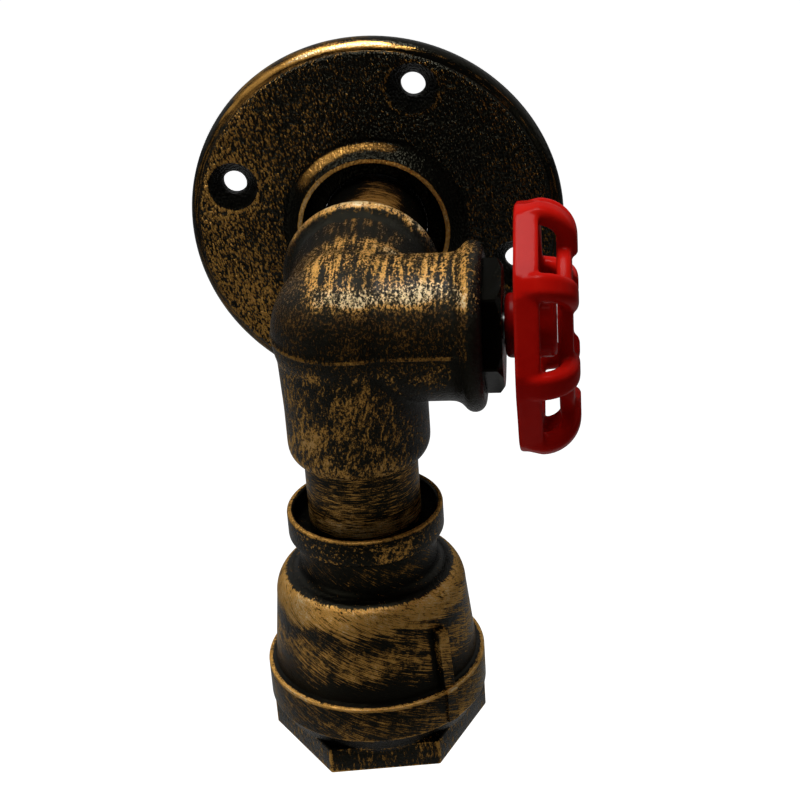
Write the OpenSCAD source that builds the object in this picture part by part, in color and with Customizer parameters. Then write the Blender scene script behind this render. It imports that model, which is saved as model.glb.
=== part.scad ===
// Pipe wall light: screw flange, pipe arm, side-outlet elbow with a handwheel switch, bell-shaped lamp cup.
// The origin is the centre of the flange's back face. +Z is up, +X points to the handwheel, -Y off the wall.

/* [Wall flange] */
// Radius of the flange
flange_r = 48.6; // [46:0.1:60]
// Thickness of the flange's plate
plate_t = 5.7; // [4.5:0.1:8]
// Rounding of the plate's front edge
plate_round = 4.4; // [0.5:0.1:4.4]
// Radius of the circle of screw holes
hole_circle_r = 38; // [32:0.1:41]
// Number of screw holes
hole_count = 4; // [3:1:6]
// Turn of the first screw hole from the top, towards the handwheel
hole_turn = 18; // [0:1:45]
// Radius of a screw hole
hole_r = 3.15; // [2:0.05:3.6]
// Radius of a countersink at the plate's face
sink_r = 6.5; // [4.5:0.1:7]
// Radius of the collar where it leaves the plate
collar_base_r = 22.4; // [21:0.1:25]
// Radius of the collar's rim
collar_rim_r = 19.9; // [19:0.1:21]
// Height of the collar above the plate
collar_h = 4.5; // [3:0.1:8]
// Radius of the recess in the collar
recess_r = 18.2; // [15.5:0.1:18.4]
// Depth of the recess in the collar
recess_depth = 5.5; // [2:0.1:6]

/* [Pipe] */
// Outer radius of the pipe
pipe_r = 13.45; // [12.2:0.05:13.6]
// Wall of the pipe
pipe_wall = 2.6; // [2:0.1:2.7]
// Radial clearance of a pipe in its thread
thread_gap = 0.05; // [0.02:0.01:0.08]
// Length of a thread in the elbow
thread_len = 14; // [11:0.5:15]
// Distance from the wall to the lamp's axis
arm_reach = 69.8; // [64:0.1:110]
// Pipe that shows between the elbow and the cup
drop_show = 14; // [6:0.1:40]

/* [Elbow] */
// Outer radius of the elbow's tubes
tube_r = 16.8; // [16.4:0.1:18.4]
// Radius of the elbow's round body
body_r = 18.2; // [17.5:0.1:22]
// Radius of the bead on an outlet
bead_r = 19.5; // [19:0.1:22]
// Radius of the bead's own section
bead_m = 2.6; // [2:0.1:3.2]
// Distance from the elbow's centre to the bead at the wall pipe
back_bead = 30; // [27:0.1:36]
// Distance from the elbow's centre to the bead at the switch
side_bead = 28.2; // [27:0.1:36]
// Length of the drop outlet from the elbow's centre
drop_len = 31.6; // [30:0.1:40]
// Rounding of the drop outlet's end, inwards
drop_round = 3.2; // [1:0.1:3.2]
// Height of the drop outlet's rounded end
drop_round_h = 4.4; // [2:0.1:7]
// Widening of the drop outlet at the elbow's centre
drop_flare = 0.7; // [0:0.1:1.5]
// Radius of the passages inside the elbow
passage_r = 11.5; // [11.2:0.1:12]
// Radius of the hollow at the elbow's centre
hollow_r = 14; // [13:0.1:15]
// Height of the casting seam
seam_h = 0.3; // [0.1:0.05:0.6]
// Width of the casting seam
seam_w = 0.7; // [0.3:0.1:1.5]

/* [Lamp cup] */
// Radius of the cup's lip
lip_r = 18.7; // [18:0.05:20]
// Height of the lip
lip_h = 6.8; // [5.5:0.1:9]
// Radius of the recess in the lip
lip_recess_r = 17.2; // [15:0.1:17.4]
// Depth of the recess in the lip
lip_recess = 5; // [3:0.1:5.4]
// Length of the thread in the cup
cup_thread = 10; // [8:0.1:14]
// Radius of the neck
neck_r = 16.6; // [16.2:0.1:17.4]
// Thickness of the web that carries the lampholder
web_t = 3.5; // [3:0.1:5]
// Depth of the shoulder below the web's top face
shoulder_drop = 1.4; // [0.5:0.1:3]
// Height of the shoulder's dome
dome_h = 6.5; // [4:0.1:8]
// Radius of the bell below the shoulder
bell_top_r = 23.1; // [22.8:0.1:24]
// Radius of the bell at the band
bell_low_r = 24.9; // [24:0.1:26]
// Height of the bell from the shoulder's dome to the band
bell_h = 18.2; // [16:0.1:30]
// Radius of the hollow in the bell
bell_bore_r = 20.5; // [20.2:0.1:20.8]
// Radius of the band
band_r = 26.8; // [26:0.1:29]
// Height of the band
band_h = 9.3; // [6:0.1:14]
// Height of the band's tapered foot
band_foot = 3.9; // [2:0.1:5]
// Corner radius of the hexagon
hex_corner_r = 26.5; // [26:0.1:30]
// Height of the hexagon
hex_h = 7.1; // [5:0.1:12]
// Turn of the hexagon's front flat towards the handwheel
hex_turn = 7.4; // [0:0.1:30]
// Width of a rib on the bell
rib_w = 3.2; // [2:0.1:5]
// Height of a rib above the bell
rib_proud = 1.7; // [0.5:0.1:1.8]
// Height of a rib above the band
rib_on_band = 0.25; // [0.1:0.05:0.5]
// Turn of the front rib towards the handwheel
rib_turn = 47; // [20:1:70]

/* [Switch] */
// Width across the flats of the plug's head
plug_flats = 27.2; // [27.2:0.1:32]
// Turn of the plug's front corner below the level
plug_turn = 15; // [0:1:60]
// Thickness of the plug's head
plug_head = 4.2; // [3:0.1:6]
// Wall of the plug in front of the switch
plug_wall = 2.6; // [2:0.1:2.9]
// Outer radius of the switch case
case_r = 10.6; // [10:0.1:10.7]
// Wall of the switch case
case_wall = 1.4; // [1:0.1:1.8]
// Length of the switch case
case_len = 20; // [18:0.5:22]
// Radius of the switch's threaded neck
neck_thread_r = 5; // [4.5:0.1:5.5]
// Radius of the spindle
spindle_r = 3; // [2.5:0.1:3.2]
// Thickness of the switch's base
base_t = 3; // [2:0.1:4]
// Distance of a contact from the switch's axis
contact_pos = 5; // [4.5:0.1:5.5]
// Length of the rotor
rotor_len = 10; // [7:0.1:10.2]

/* [Handwheel] */
// Radius of the handwheel over its bars
wheel_r = 29.8; // [27:0.1:34]
// Width of the wheel's band
wheel_band = 5.5; // [4:0.1:8]
// Wall of the wheel's band
wheel_wall = 3.6; // [2.5:0.1:4]
// Height of the bars above the band
bar_rise = 8.4; // [7.5:0.1:12]
// Number of bars
bar_count = 8; // [6:1:10]
// Width of a bar
bar_w = 6.2; // [5:0.1:10]
// Thickness of a bar
bar_t = 4.4; // [3:0.1:5]
// Height of the bars above the band's outer face
bar_proud = 0.9; // [0.5:0.1:2]
// Rounding of the bars at the front
bar_round = 8.8; // [7:0.1:10]
// Turn of the bars
bar_turn = -4; // [-22:0.5:22]
// Width of the front ring
ring_w = 3.8; // [2.5:0.1:5]
// Thickness of the front ring
ring_t = 3.4; // [2:0.1:4.5]
// Distance of the front ring inside the bars' outer face
ring_in = 9; // [6:0.1:11]
// Radius of the hub
hub_r = 7.4; // [6.5:0.1:9]
// Hub that shows behind the wheel's band
hub_back = 2.8; // [1:0.1:4]
// Depth of the well for the screw in the hub's front
hub_well = 3.4; // [2.5:0.1:3.4]
// Number of spokes
spoke_count = 4; // [3:1:6]
// Width of a spoke
spoke_w = 7; // [4:0.1:9]
// Thickness of a spoke
spoke_t = 4; // [2.5:0.1:5]

/* [Lampholder] */
// Outer radius of the lampholder
holder_r = 19.2; // [18.9:0.1:19.6]
// Radius of the screw socket's thread
socket_thread_r = 13.3; // [13.2:0.05:13.5]
// Wall of the screw socket
socket_wall = 0.5; // [0.4:0.05:0.6]
// Length of the screw socket
socket_len = 18; // [15:0.5:26]
// Radius of the threaded tube
tube_thread_r = 5; // [4.5:0.1:5.2]
// Bore radius of the threaded tube
tube_bore_r = 3.9; // [3.7:0.1:4]
// Width across the flats of the tube's nut
nut_flats = 14; // [12:0.5:14]
// Thickness of the tube's nut
nut_t = 4; // [3:0.1:5]
// Travel of the centre contact
contact_travel = 1.5; // [1:0.1:2]

/* [Wiring] */
// Radius of an insulated wire
wire_r = 1; // [0.8:0.05:1.1]
// Width of the terminal block
block_w = 18.6; // [17:0.1:18.8]
// Thickness of the terminal block
block_t = 9.4; // [8:0.1:9.4]
// Length of the terminal block
block_len = 16; // [14:0.1:18]
// Distance of the terminal block from the wall
block_back = 7; // [6:0.1:10]

/* [Hidden] */
$fn = 96;

// Length that a cut runs past a face
over = 1;
// Clearance of pieces that slide into each other
slip = 0.05;
// Clearance of pieces that stop short of each other
stop_gap = 0.2;
// Clearance of bodies that move past each other
move_gap = 0.3;
// Points on a quarter of a drawn arc
arc_steps = 8;

// Places along the pipe axes, from the elbow's centre
socket_r = pipe_r + thread_gap;
pipe_bore_r = pipe_r - pipe_wall;
back_face = back_bead + bead_m;
back_seat = back_face - thread_len;
port_face = side_bead + bead_m;
port_seat = port_face - thread_len;
drop_seat = drop_len - thread_len;
plate_and_collar = plate_t + collar_h;
wall_nipple_back = 1;

// Levels of the cup, below its rim
cup_rim_z = -(drop_len + drop_show);
web_top = lip_recess + cup_thread;
web_low = web_top + web_t;
shoulder_top = web_top + shoulder_drop;
dome_low = shoulder_top + dome_h;
band_top = dome_low + bell_h;
band_low = band_top + band_h;
hex_top = band_low + band_foot;
cup_h = hex_top + hex_h;
lip_round = 0.8;
neck_fillet = 2;
bell_arc_r = 8.5;
rib_top = dome_low + 2.6;

// Levels of the lampholder, below the cup's rim
boss_h = 1.6;
boss_r = 8.5;
cap_arc_r = 8.2;
cap_wall = 2.2;
ledge_drop = 12;
block_upper = 4;
block_lower = 2;
block_clear = 0.2;
ledge = web_low + ledge_drop;
skirt_top = ledge + block_upper;
block_low = skirt_top + block_lower;
skirt_bore_r = socket_thread_r + socket_wall + 0.2;
tag_t = 0.8;
tube_show = 1.4;
tube_top = web_top - tag_t - nut_t - tube_show;
tube_low = web_low + 3;

// Centre contact and its spring, below the cup's rim
stem_r = 2;
head_r = 4.2;
head_t = 1.3;
head_top = block_low + contact_travel + stop_gap;
clip_r = 3;
clip_t = 0.8;
spring_wire_r = 0.3;
spring_r = 2.9;
spring_pocket_r = 3.6;
spring_pocket = 3.4;
spring_turns = 4;

// Screw socket, clear of the centre contact
shell_top = head_top + head_t + stop_gap;
shell_low = shell_top + socket_len;
skirt_low = shell_low + 1.2;

// Places along the switch's axis, from the elbow's centre
plug_front = port_face + plug_head;
case_front = plug_front - plug_wall;
case_back = case_front - case_len;
case_bore_r = case_r - case_wall;
case_face_t = 2.5;
contact_rise = 3;
blade_tip = case_back + base_t + contact_rise;
bridge_gap = 0.1;
bridge_t = 1;
rotor_back = blade_tip + bridge_gap + bridge_t;
rotor_r = case_bore_r - 0.6;
tail_r = 2;
tail_gap = 0.4;
blade_t = 1;
blade_w = 4;
post_len = 1.6;

// Places along the handwheel's axis, from the elbow's centre
hub_start = plug_front + move_gap;
wheel_back = hub_start + hub_back;
wheel_mid = wheel_back + wheel_band;
wheel_front = wheel_mid + bar_rise;
band_face_r = wheel_r - bar_proud;
ring_r = wheel_r - ring_in;
bar_end_r = ring_r - ring_w + 1;
hub_end = wheel_mid;
spindle_end = hub_end - 0.4;
spindle_flat = 0.6;
washer_t = 0.8;
washer_r = 5;
well_r = washer_r + 0.4;
screw_head_r = 3.8;
screw_head_t = 2.4;
screw_shank_r = 1.5;
screw_len = 7;

// Ends of the wires: the block's poles, the switch's contacts, the lampholder's posts and the earth tag
pole_step = 5.5;
wire_in = 5;
wire_start = -(block_back + block_len - wire_in);
switch_wire_x = case_back - post_len - stop_gap;
post_size = [5.5, 6, 5];
post_x = 9.8;
post_hole_h = 2.4;
holder_wire_x = post_x - 1.2;
holder_wire_z = cup_rim_z - ledge + post_hole_h;
tag_barrel_r = wire_r + 0.5;
tag_barrel_y = nut_flats / 2 + stop_gap + tag_barrel_r;
earth_wire_z = cup_rim_z - web_top + tag_t + 2;

// Routes of the wires: hand-placed points, counted from the elbow's centre in the middle stretch
function from_elbow(points) = [for (p = points) p + [0, -arm_reach, 0]];
function out_of_block(side) = [for (y = [0, -8]) [side * pole_step, wire_start + y, 0]];
function down_the_tube(side) = [
    [side * 1.6, -arm_reach, -drop_len],
    [side * 1.6, -arm_reach, cup_rim_z - tube_top],
    [side * 1.6, -arm_reach, cup_rim_z - tube_low + 3],
    [side * 2.4, -arm_reach, cup_rim_z - tube_low - 2.4],
    [side * 5.4, -arm_reach, holder_wire_z + 0.2],
    [side * holder_wire_x, -arm_reach, holder_wire_z]
];
live_route = concat(
    out_of_block(1),
    from_elbow([[5.5, 30, 0], [4, 16, 0], [3, 9, 1], [4.5, 5.6, 1]]),
    from_elbow([for (x = [switch_wire_x - 2.5, switch_wire_x]) [x, contact_pos, 0]])
);
switched_route = concat(
    from_elbow([for (x = [switch_wire_x, switch_wire_x - 2.5]) [x, -contact_pos, 0]]),
    from_elbow([[4, -4.2, -2], [2.5, -2.2, -8], [1.7, -0.2, -18]]),
    down_the_tube(1)
);
neutral_route = concat(
    out_of_block(-1),
    from_elbow([[-5.5, 28, 0], [-5.5, 12, -1], [-4, 3, -6], [-2, 0.2, -17]]),
    down_the_tube(-1)
);
earth_route = concat(
    out_of_block(0),
    from_elbow([[0, 30, 0], [0, 18, -1], [0, 11, -6], [0, 8.6, -14], [0, 8.6, -28]]),
    from_elbow([[0, tag_barrel_y, earth_wire_z + 8], [0, tag_barrel_y, earth_wire_z]])
);
wire_sides = 8;
wire_steps = 4;

// Points of an arc about a centre, from one angle to another, with or without its first point
function arc(centre, rx, rz, from, to, first = 0) =
    [
        for (k = [first : arc_steps])
            let (a = from + (to - from) * k / arc_steps)
            centre + [rx * cos(a), rz * sin(a)]
    ];

// Unit vector along v
function unit(v) = v / norm(v);

// Point of a smooth curve from p1 to p2, with its neighbours p0 and p3
function curve_point(p0, p1, p2, p3, t) =
    0.5 * (2 * p1 + (p2 - p0) * t + (2 * p0 - 5 * p1 + 4 * p2 - p3) * t * t
        + (3 * p1 - p0 - 3 * p2 + p3) * t * t * t);

// Smooth route through hand-placed points
function smooth_route(p) =
    let (n = len(p) - 1)
    [
        for (i = [0 : n - 1])
            for (k = [0 : wire_steps - 1])
                curve_point(p[max(i - 1, 0)], p[i], p[i + 1], p[min(i + 2, n)], k / wire_steps),
        p[n]
    ];

// Direction of a route at one of its points
function heading(p, i) = unit(p[min(i + 1, len(p) - 1)] - p[max(i - 1, 0)]);

// Any unit vector square to a direction
function square_to(t) = unit(cross(t, abs(t[0]) < 0.9 ? [1, 0, 0] : [0, 1, 0]));

// Sideways vectors carried along a route without twist
function carried_sides(p, i = 0, last = undef, out = []) =
    i == len(p) ? out :
    let (t = heading(p, i), m = last == undef ? square_to(t) : unit(last - t * (last * t)))
    carried_sides(p, i + 1, m, concat(out, [m]));

// Closed tube along a route
module swept_tube(p, r, sides) {
    m = carried_sides(p);
    n = len(p);
    rings = [
        for (i = [0 : n - 1])
            let (t = heading(p, i), b = cross(t, m[i]))
            for (k = [0 : sides - 1]) p[i] + r * (cos(360 * k / sides) * m[i] + sin(360 * k / sides) * b)
    ];
    walls = [
        for (i = [0 : n - 2])
            for (k = [0 : sides - 1])
                let (a = i * sides + k, c = i * sides + (k + 1) % sides)
                each [[a, a + sides, c], [c, a + sides, c + sides]]
    ];
    start_cap = [for (k = [1 : sides - 2]) [0, k, k + 1]];
    end_cap = [for (k = [1 : sides - 2]) (n - 1) * sides * [1, 1, 1] + [0, k + 1, k]];
    polyhedron(rings, concat(walls, start_cap, end_cap));
}

// Smooth wire along hand-placed points
module wire(route) {
    swept_tube(smooth_route(route), wire_r, wire_sides);
}

// Ring with a bore
module tube(r_out, r_in, h) {
    difference() {
        cylinder(r = r_out, h = h);
        translate([0, 0, -over]) cylinder(r = r_in, h = h + 2 * over);
    }
}

// Hexagon prism, given across its flats
module hex_prism(flats, h) {
    cylinder(r = flats / 2 / cos(30), h = h, $fn = 6);
}

// Frames: local +Z off the wall, along the handwheel's axis, and towards the wall
module off_wall() rotate([90, 0, 0]) children();
module at_elbow() translate([0, -arm_reach, 0]) children();
module along_switch() at_elbow() rotate([0, 90, 0]) children();
module to_wall() at_elbow() rotate([-90, 0, 0]) children();
module at_cup() translate([0, -arm_reach, cup_rim_z]) children();

module wall_flange() {
    outline = concat(
        [[0, 0], [flange_r, 0]],
        arc([flange_r - plate_round, plate_t - plate_round], plate_round, plate_round, 0, 90),
        [[collar_base_r, plate_t], [collar_rim_r, plate_and_collar], [0, plate_and_collar]]
    );
    sink_depth = sink_r - hole_r;
    color([0.30, 0.21, 0.11]) off_wall() difference() {
        rotate_extrude() polygon(outline);
        translate([0, 0, -over]) cylinder(r = socket_r, h = plate_and_collar + 2 * over);
        translate([0, 0, plate_and_collar - recess_depth]) cylinder(r = recess_r, h = recess_depth + over);
        for (k = [0 : hole_count - 1])
            rotate([0, 0, -hole_turn - 360 * k / hole_count]) translate([0, hole_circle_r, 0]) {
                translate([0, 0, -over]) cylinder(r = hole_r, h = plate_t + 2 * over);
                translate([0, 0, plate_t - sink_depth]) cylinder(r1 = hole_r, r2 = sink_r, h = sink_depth);
                translate([0, 0, plate_t]) cylinder(r = sink_r, h = over);
            }
    }
}

module wall_nipple() {
    nipple_end = arm_reach - back_seat - stop_gap;
    color([0.42, 0.34, 0.20]) off_wall() translate([0, 0, wall_nipple_back])
        tube(pipe_r, pipe_bore_r, nipple_end - wall_nipple_back);
}

// Outlet with a bead, from the elbow's centre
module outlet(bead) {
    cylinder(r = tube_r, h = bead + bead_m);
    translate([0, 0, bead]) rotate_extrude() translate([bead_r - bead_m, 0]) circle(r = bead_m);
}

// Passage and thread of an outlet
module outlet_bore(face, seat) {
    cylinder(r = passage_r, h = face);
    translate([0, 0, seat]) cylinder(r = socket_r, h = face - seat + over);
}

module outlet_elbow() {
    drop_outline = concat(
        [[0, 0], [0, -drop_len]],
        arc([tube_r - drop_round, -drop_len + drop_round_h], drop_round, drop_round_h, -90, 0),
        [[tube_r, -body_r], [tube_r + drop_flare, 0]]
    );
    seam_r = tube_r + seam_h;
    color([0.36, 0.26, 0.13]) difference() {
        union() {
            at_elbow() sphere(r = body_r);
            to_wall() outlet(back_bead);
            along_switch() outlet(side_bead);
            at_elbow() rotate_extrude() polygon(drop_outline);
            at_elbow() translate([0, 0, -seam_w / 2]) {
                cylinder(r = body_r + seam_h, h = seam_w);
                translate([0, -seam_r, 0]) cube([side_bead - bead_m, 2 * seam_r, seam_w]);
                translate([-seam_r, 0, 0]) cube([2 * seam_r, back_bead - bead_m, seam_w]);
            }
        }
        at_elbow() sphere(r = hollow_r);
        to_wall() outlet_bore(back_face, back_seat);
        along_switch() outlet_bore(port_face, port_seat);
        at_elbow() rotate([180, 0, 0]) outlet_bore(drop_len, drop_seat);
    }
}

module drop_nipple() {
    color([0.42, 0.34, 0.20]) at_elbow() rotate([180, 0, 0]) translate([0, 0, drop_seat + stop_gap])
        tube(pipe_r, pipe_bore_r, -cup_rim_z + web_top - drop_seat - 2 * stop_gap);
}

// Rib down the bell and faintly over the band
module cup_rib() {
    rib_root = bell_bore_r + 1;
    slope = (bell_low_r - bell_top_r) / bell_h;
    top_r = bell_top_r + slope * (rib_top - dome_low) + rib_proud;
    outline = [
        [rib_root, -rib_top], [top_r, -rib_top], [bell_low_r + rib_proud, -band_top],
        [band_r + rib_on_band, -band_top], [band_r + rib_on_band, -band_low], [rib_root, -band_low]
    ];
    translate([rib_w / 2, 0, 0]) rotate([90, 0, -90]) linear_extrude(rib_w) polygon(outline);
}

module lamp_cup() {
    shoulder_r = neck_r + neck_fillet;
    foot_r = hex_corner_r * cos(30) - 1;
    outline = concat(
        [[0, 0]],
        arc([lip_r - lip_round, -lip_round], lip_round, lip_round, 90, 0),
        arc([lip_r - lip_round, -lip_h + lip_round], lip_round, lip_round, 0, -90),
        [[neck_r, -lip_h]],
        arc([shoulder_r, -shoulder_top + neck_fillet], neck_fillet, neck_fillet, 180, 270),
        arc([shoulder_r, -dome_low], bell_top_r - shoulder_r, dome_h, 90, 0, first = 1),
        [
            [bell_low_r, -band_top], [band_r, -band_top], [band_r, -band_low],
            [foot_r, -cup_h + hex_h / 2], [0, -cup_h + hex_h / 2]
        ]
    );
    hollow = concat(
        [[0, -web_low]],
        arc([bell_bore_r - bell_arc_r, -web_low - bell_arc_r], bell_arc_r, bell_arc_r, 90, 0),
        [[bell_bore_r, -cup_h - over], [0, -cup_h - over]]
    );
    color([0.33, 0.23, 0.11]) at_cup() difference() {
        union() {
            rotate_extrude() polygon(outline);
            translate([0, 0, -cup_h]) rotate([0, 0, hex_turn]) cylinder(r = hex_corner_r, h = hex_h, $fn = 6);
            for (half = [0, 180]) rotate([0, 0, rib_turn + half]) cup_rib();
        }
        rotate_extrude() polygon(hollow);
        translate([0, 0, -lip_recess]) cylinder(r = lip_recess_r, h = lip_recess + over);
        translate([0, 0, -web_top]) cylinder(r = socket_r, h = web_top + over);
        translate([0, 0, -web_low - over]) cylinder(r = tube_thread_r + slip, h = web_low + over);
    }
}

module hex_plug() {
    color([0.05, 0.05, 0.05]) along_switch() difference() {
        union() {
            translate([0, 0, port_seat + stop_gap])
                cylinder(r = pipe_r, h = thread_len - stop_gap + plug_head / 2);
            translate([0, 0, port_face]) rotate([0, 0, plug_turn - 90]) hex_prism(plug_flats, plug_head);
        }
        cylinder(r = case_r + stop_gap, h = case_front);
        cylinder(r = neck_thread_r + slip, h = plug_front + over);
    }
}

module switch_case() {
    color([0.12, 0.10, 0.09]) along_switch() difference() {
        union() {
            translate([0, 0, case_back]) cylinder(r = case_r, h = case_len);
            translate([0, 0, case_front - over]) cylinder(r = neck_thread_r, h = plug_wall - slip + over);
        }
        translate([0, 0, case_back - over]) cylinder(r = case_bore_r, h = case_len - case_face_t + over);
        cylinder(r = spindle_r + slip, h = plug_front + over);
    }
}

// The two places of the switch's contacts
module each_contact() {
    for (side = [-1, 1]) translate([0, side * contact_pos, case_back]) children();
}

module switch_base() {
    slot = [blade_w + 2 * slip, blade_t + 2 * slip, base_t + 2 * over];
    color([0.55, 0.36, 0.18]) along_switch() difference() {
        translate([0, 0, case_back]) cylinder(r = case_bore_r - slip, h = base_t);
        translate([0, 0, case_back - over]) cylinder(r = tail_r + slip, h = base_t + 2 * over);
        each_contact() translate([-slot[0] / 2, -slot[1] / 2, -over]) cube(slot);
    }
}

module switch_contacts() {
    blade_h = post_len + base_t + contact_rise;
    color([0.80, 0.62, 0.28]) along_switch() each_contact()
        translate([-blade_w / 2, -blade_t / 2, -post_len]) cube([blade_w, blade_t, blade_h]);
}

module switch_screws() {
    head_side = 1.4;
    color([0.72, 0.72, 0.70]) along_switch() for (side = [-1, 1])
        translate([0, side * (contact_pos + blade_t / 2), case_back - post_len / 2])
            rotate([-90 * side, 0, 0]) cylinder(r = post_len / 2 - stop_gap / 4, h = head_side);
}

module switch_rotor() {
    color([0.85, 0.83, 0.76]) along_switch() translate([0, 0, rotor_back])
        tube(rotor_r, spindle_r + slip, min(rotor_len, case_front - case_face_t - rotor_back - stop_gap));
}

module rotor_bridge() {
    bridge_len = 2 * contact_pos + blade_w;
    color([0.82, 0.64, 0.30]) along_switch() translate([0, 0, rotor_back - bridge_t]) difference() {
        translate([-bridge_len / 2, -blade_w, 0]) cube([bridge_len, 2 * blade_w, bridge_t]);
        translate([0, 0, -over]) cylinder(r = spindle_r + slip, h = bridge_t + 2 * over);
    }
}

module switch_spindle() {
    shaft_start = blade_tip;
    tail_start = case_back + tail_gap;
    flat_start = hub_start - over;
    color([0.70, 0.70, 0.68]) along_switch() difference() {
        union() {
            translate([0, 0, tail_start]) cylinder(r = tail_r, h = shaft_start - tail_start + over);
            translate([0, 0, shaft_start]) cylinder(r = spindle_r, h = spindle_end - shaft_start);
        }
        translate([spindle_r - spindle_flat, -spindle_r, flat_start])
            cube([2 * spindle_r, 2 * spindle_r, spindle_end - flat_start + over]);
        translate([0, 0, hub_end - screw_len - stop_gap])
            cylinder(r = screw_shank_r + slip, h = screw_len + over);
    }
}

// Round-shouldered shell that the wheel's bars are cut from
module bar_shell() {
    turn_r = wheel_r - bar_round;
    turn_z = wheel_front - bar_round;
    inner_round = bar_round - bar_t;
    outline = concat(
        [[wheel_r - bar_t, wheel_back], [wheel_r, wheel_back]],
        arc([turn_r, turn_z], bar_round, bar_round, 0, 90),
        [[bar_end_r, wheel_front], [bar_end_r, wheel_front - bar_t]],
        arc([turn_r, turn_z], inner_round, inner_round, 90, 0)
    );
    rotate_extrude() polygon(outline);
}

module handwheel() {
    ring_front = wheel_front - bar_t / 2 + ring_t / 4;
    spoke_z = wheel_back + (wheel_band - spoke_t) / 2;
    color([0.72, 0.05, 0.04]) along_switch() difference() {
        union() {
            translate([0, 0, wheel_back]) tube(band_face_r, band_face_r - wheel_wall, wheel_band);
            translate([0, 0, ring_front - ring_t]) tube(ring_r, ring_r - ring_w, ring_t);
            translate([0, 0, hub_start]) cylinder(r = hub_r, h = hub_end + hub_well - hub_start);
            for (k = [0 : spoke_count - 1]) rotate([0, 0, -bar_turn + 360 * k / spoke_count])
                translate([0, -spoke_w / 2, spoke_z]) cube([band_face_r - wheel_wall / 2, spoke_w, spoke_t]);
            intersection() {
                bar_shell();
                for (k = [0 : bar_count - 1]) rotate([0, 0, -bar_turn + 360 * k / bar_count])
                    translate([0, -bar_w / 2, wheel_back - over])
                        cube([wheel_r + over, bar_w, wheel_front - wheel_back + 2 * over]);
            }
        }
        difference() {
            cylinder(r = spindle_r + slip, h = hub_end + over);
            translate([spindle_r - spindle_flat + slip, -hub_r, 0]) cube([hub_r, 2 * hub_r, hub_end + over]);
        }
        translate([0, 0, hub_end]) cylinder(r = well_r, h = hub_well + over);
    }
}

module wheel_washer() {
    color([0.75, 0.75, 0.73]) along_switch() translate([0, 0, hub_end])
        tube(washer_r, screw_shank_r + slip, washer_t);
}

module wheel_screw() {
    slot_w = 0.9;
    slot_depth = 1;
    head_z = hub_end + washer_t;
    color([0.68, 0.68, 0.66]) along_switch() difference() {
        union() {
            translate([0, 0, hub_end - screw_len])
                cylinder(r = screw_shank_r, h = screw_len + washer_t + over);
            translate([0, 0, head_z]) cylinder(r = screw_head_r, h = screw_head_t);
        }
        translate([-screw_head_r - over, -slot_w / 2, head_z + screw_head_t - slot_depth])
            cube([2 * (screw_head_r + over), slot_w, slot_depth + over]);
    }
}

module threaded_tube() {
    color([0.78, 0.68, 0.42]) at_cup() translate([0, 0, -tube_low])
        tube(tube_thread_r, tube_bore_r, tube_low - tube_top);
}

module tube_nut() {
    color([0.74, 0.70, 0.58]) at_cup() translate([0, 0, -web_top + tag_t]) difference() {
        hex_prism(nut_flats, nut_t);
        translate([0, 0, -over]) cylinder(r = tube_thread_r + slip, h = nut_t + 2 * over);
    }
}

module earth_tag() {
    tongue_w = 3;
    barrel_h = nut_t + tube_show;
    color([0.80, 0.74, 0.55]) at_cup() translate([0, 0, -web_top]) difference() {
        union() {
            cylinder(r = nut_flats / 2, h = tag_t);
            translate([-tongue_w / 2, 0, 0]) cube([tongue_w, tag_barrel_y, tag_t]);
            translate([0, tag_barrel_y, 0]) cylinder(r = tag_barrel_r, h = barrel_h);
        }
        translate([0, 0, -over]) cylinder(r = tube_thread_r + slip, h = tag_t + 2 * over);
        translate([0, tag_barrel_y, tag_t]) cylinder(r = wire_r + slip, h = barrel_h);
    }
}

module holder_cap() {
    outer_r = holder_r - cap_arc_r;
    outer_z = -web_low - boss_h - cap_arc_r;
    chamber_r = holder_r - cap_wall;
    ledge_r = chamber_r - 1.5;
    chamber_arc = 5;
    chamber_top = web_low + boss_h + cap_wall;
    outline = concat(
        [[0, -web_low], [boss_r, -web_low], [boss_r, -web_low - boss_h]],
        arc([outer_r, outer_z], cap_arc_r, cap_arc_r, 90, 0),
        [[holder_r, -skirt_top], [0, -skirt_top]]
    );
    chamber = concat(
        [[0, -chamber_top]],
        arc([ledge_r - chamber_arc, -chamber_top - chamber_arc], chamber_arc, chamber_arc, 90, 0),
        [[ledge_r, -ledge], [chamber_r, -ledge], [chamber_r, -skirt_top - over], [0, -skirt_top - over]]
    );
    color([0.10, 0.09, 0.08]) at_cup() difference() {
        rotate_extrude() polygon(outline);
        rotate_extrude() polygon(chamber);
        translate([0, 0, -chamber_top - over]) cylinder(r = tube_thread_r + slip, h = chamber_top + over);
    }
}

module holder_block() {
    upper_r = holder_r - cap_wall - block_clear;
    lower_r = skirt_bore_r - block_clear;
    block_h = block_upper + block_lower;
    color([0.93, 0.91, 0.86]) at_cup() difference() {
        union() {
            translate([0, 0, -skirt_top]) cylinder(r = upper_r, h = block_upper);
            translate([0, 0, -block_low]) cylinder(r = lower_r, h = block_lower + over);
        }
        translate([0, 0, -block_low - over]) cylinder(r = stem_r + slip, h = block_h + 2 * over);
        translate([0, 0, -block_low - over]) cylinder(r = spring_pocket_r, h = spring_pocket + over);
    }
}

module holder_terminals() {
    color([0.80, 0.63, 0.30]) at_cup() for (side = [0, 180]) rotate([0, 0, side])
        translate([post_x, 0, -ledge]) difference() {
            translate([-post_size[0] / 2, -post_size[1] / 2, 0]) cube(post_size);
            translate([-post_size[0] / 2 - over, 0, post_hole_h]) rotate([0, 90, 0])
                cylinder(r = wire_r + 2 * slip, h = post_size[0] / 2 + over);
        }
}

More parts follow.
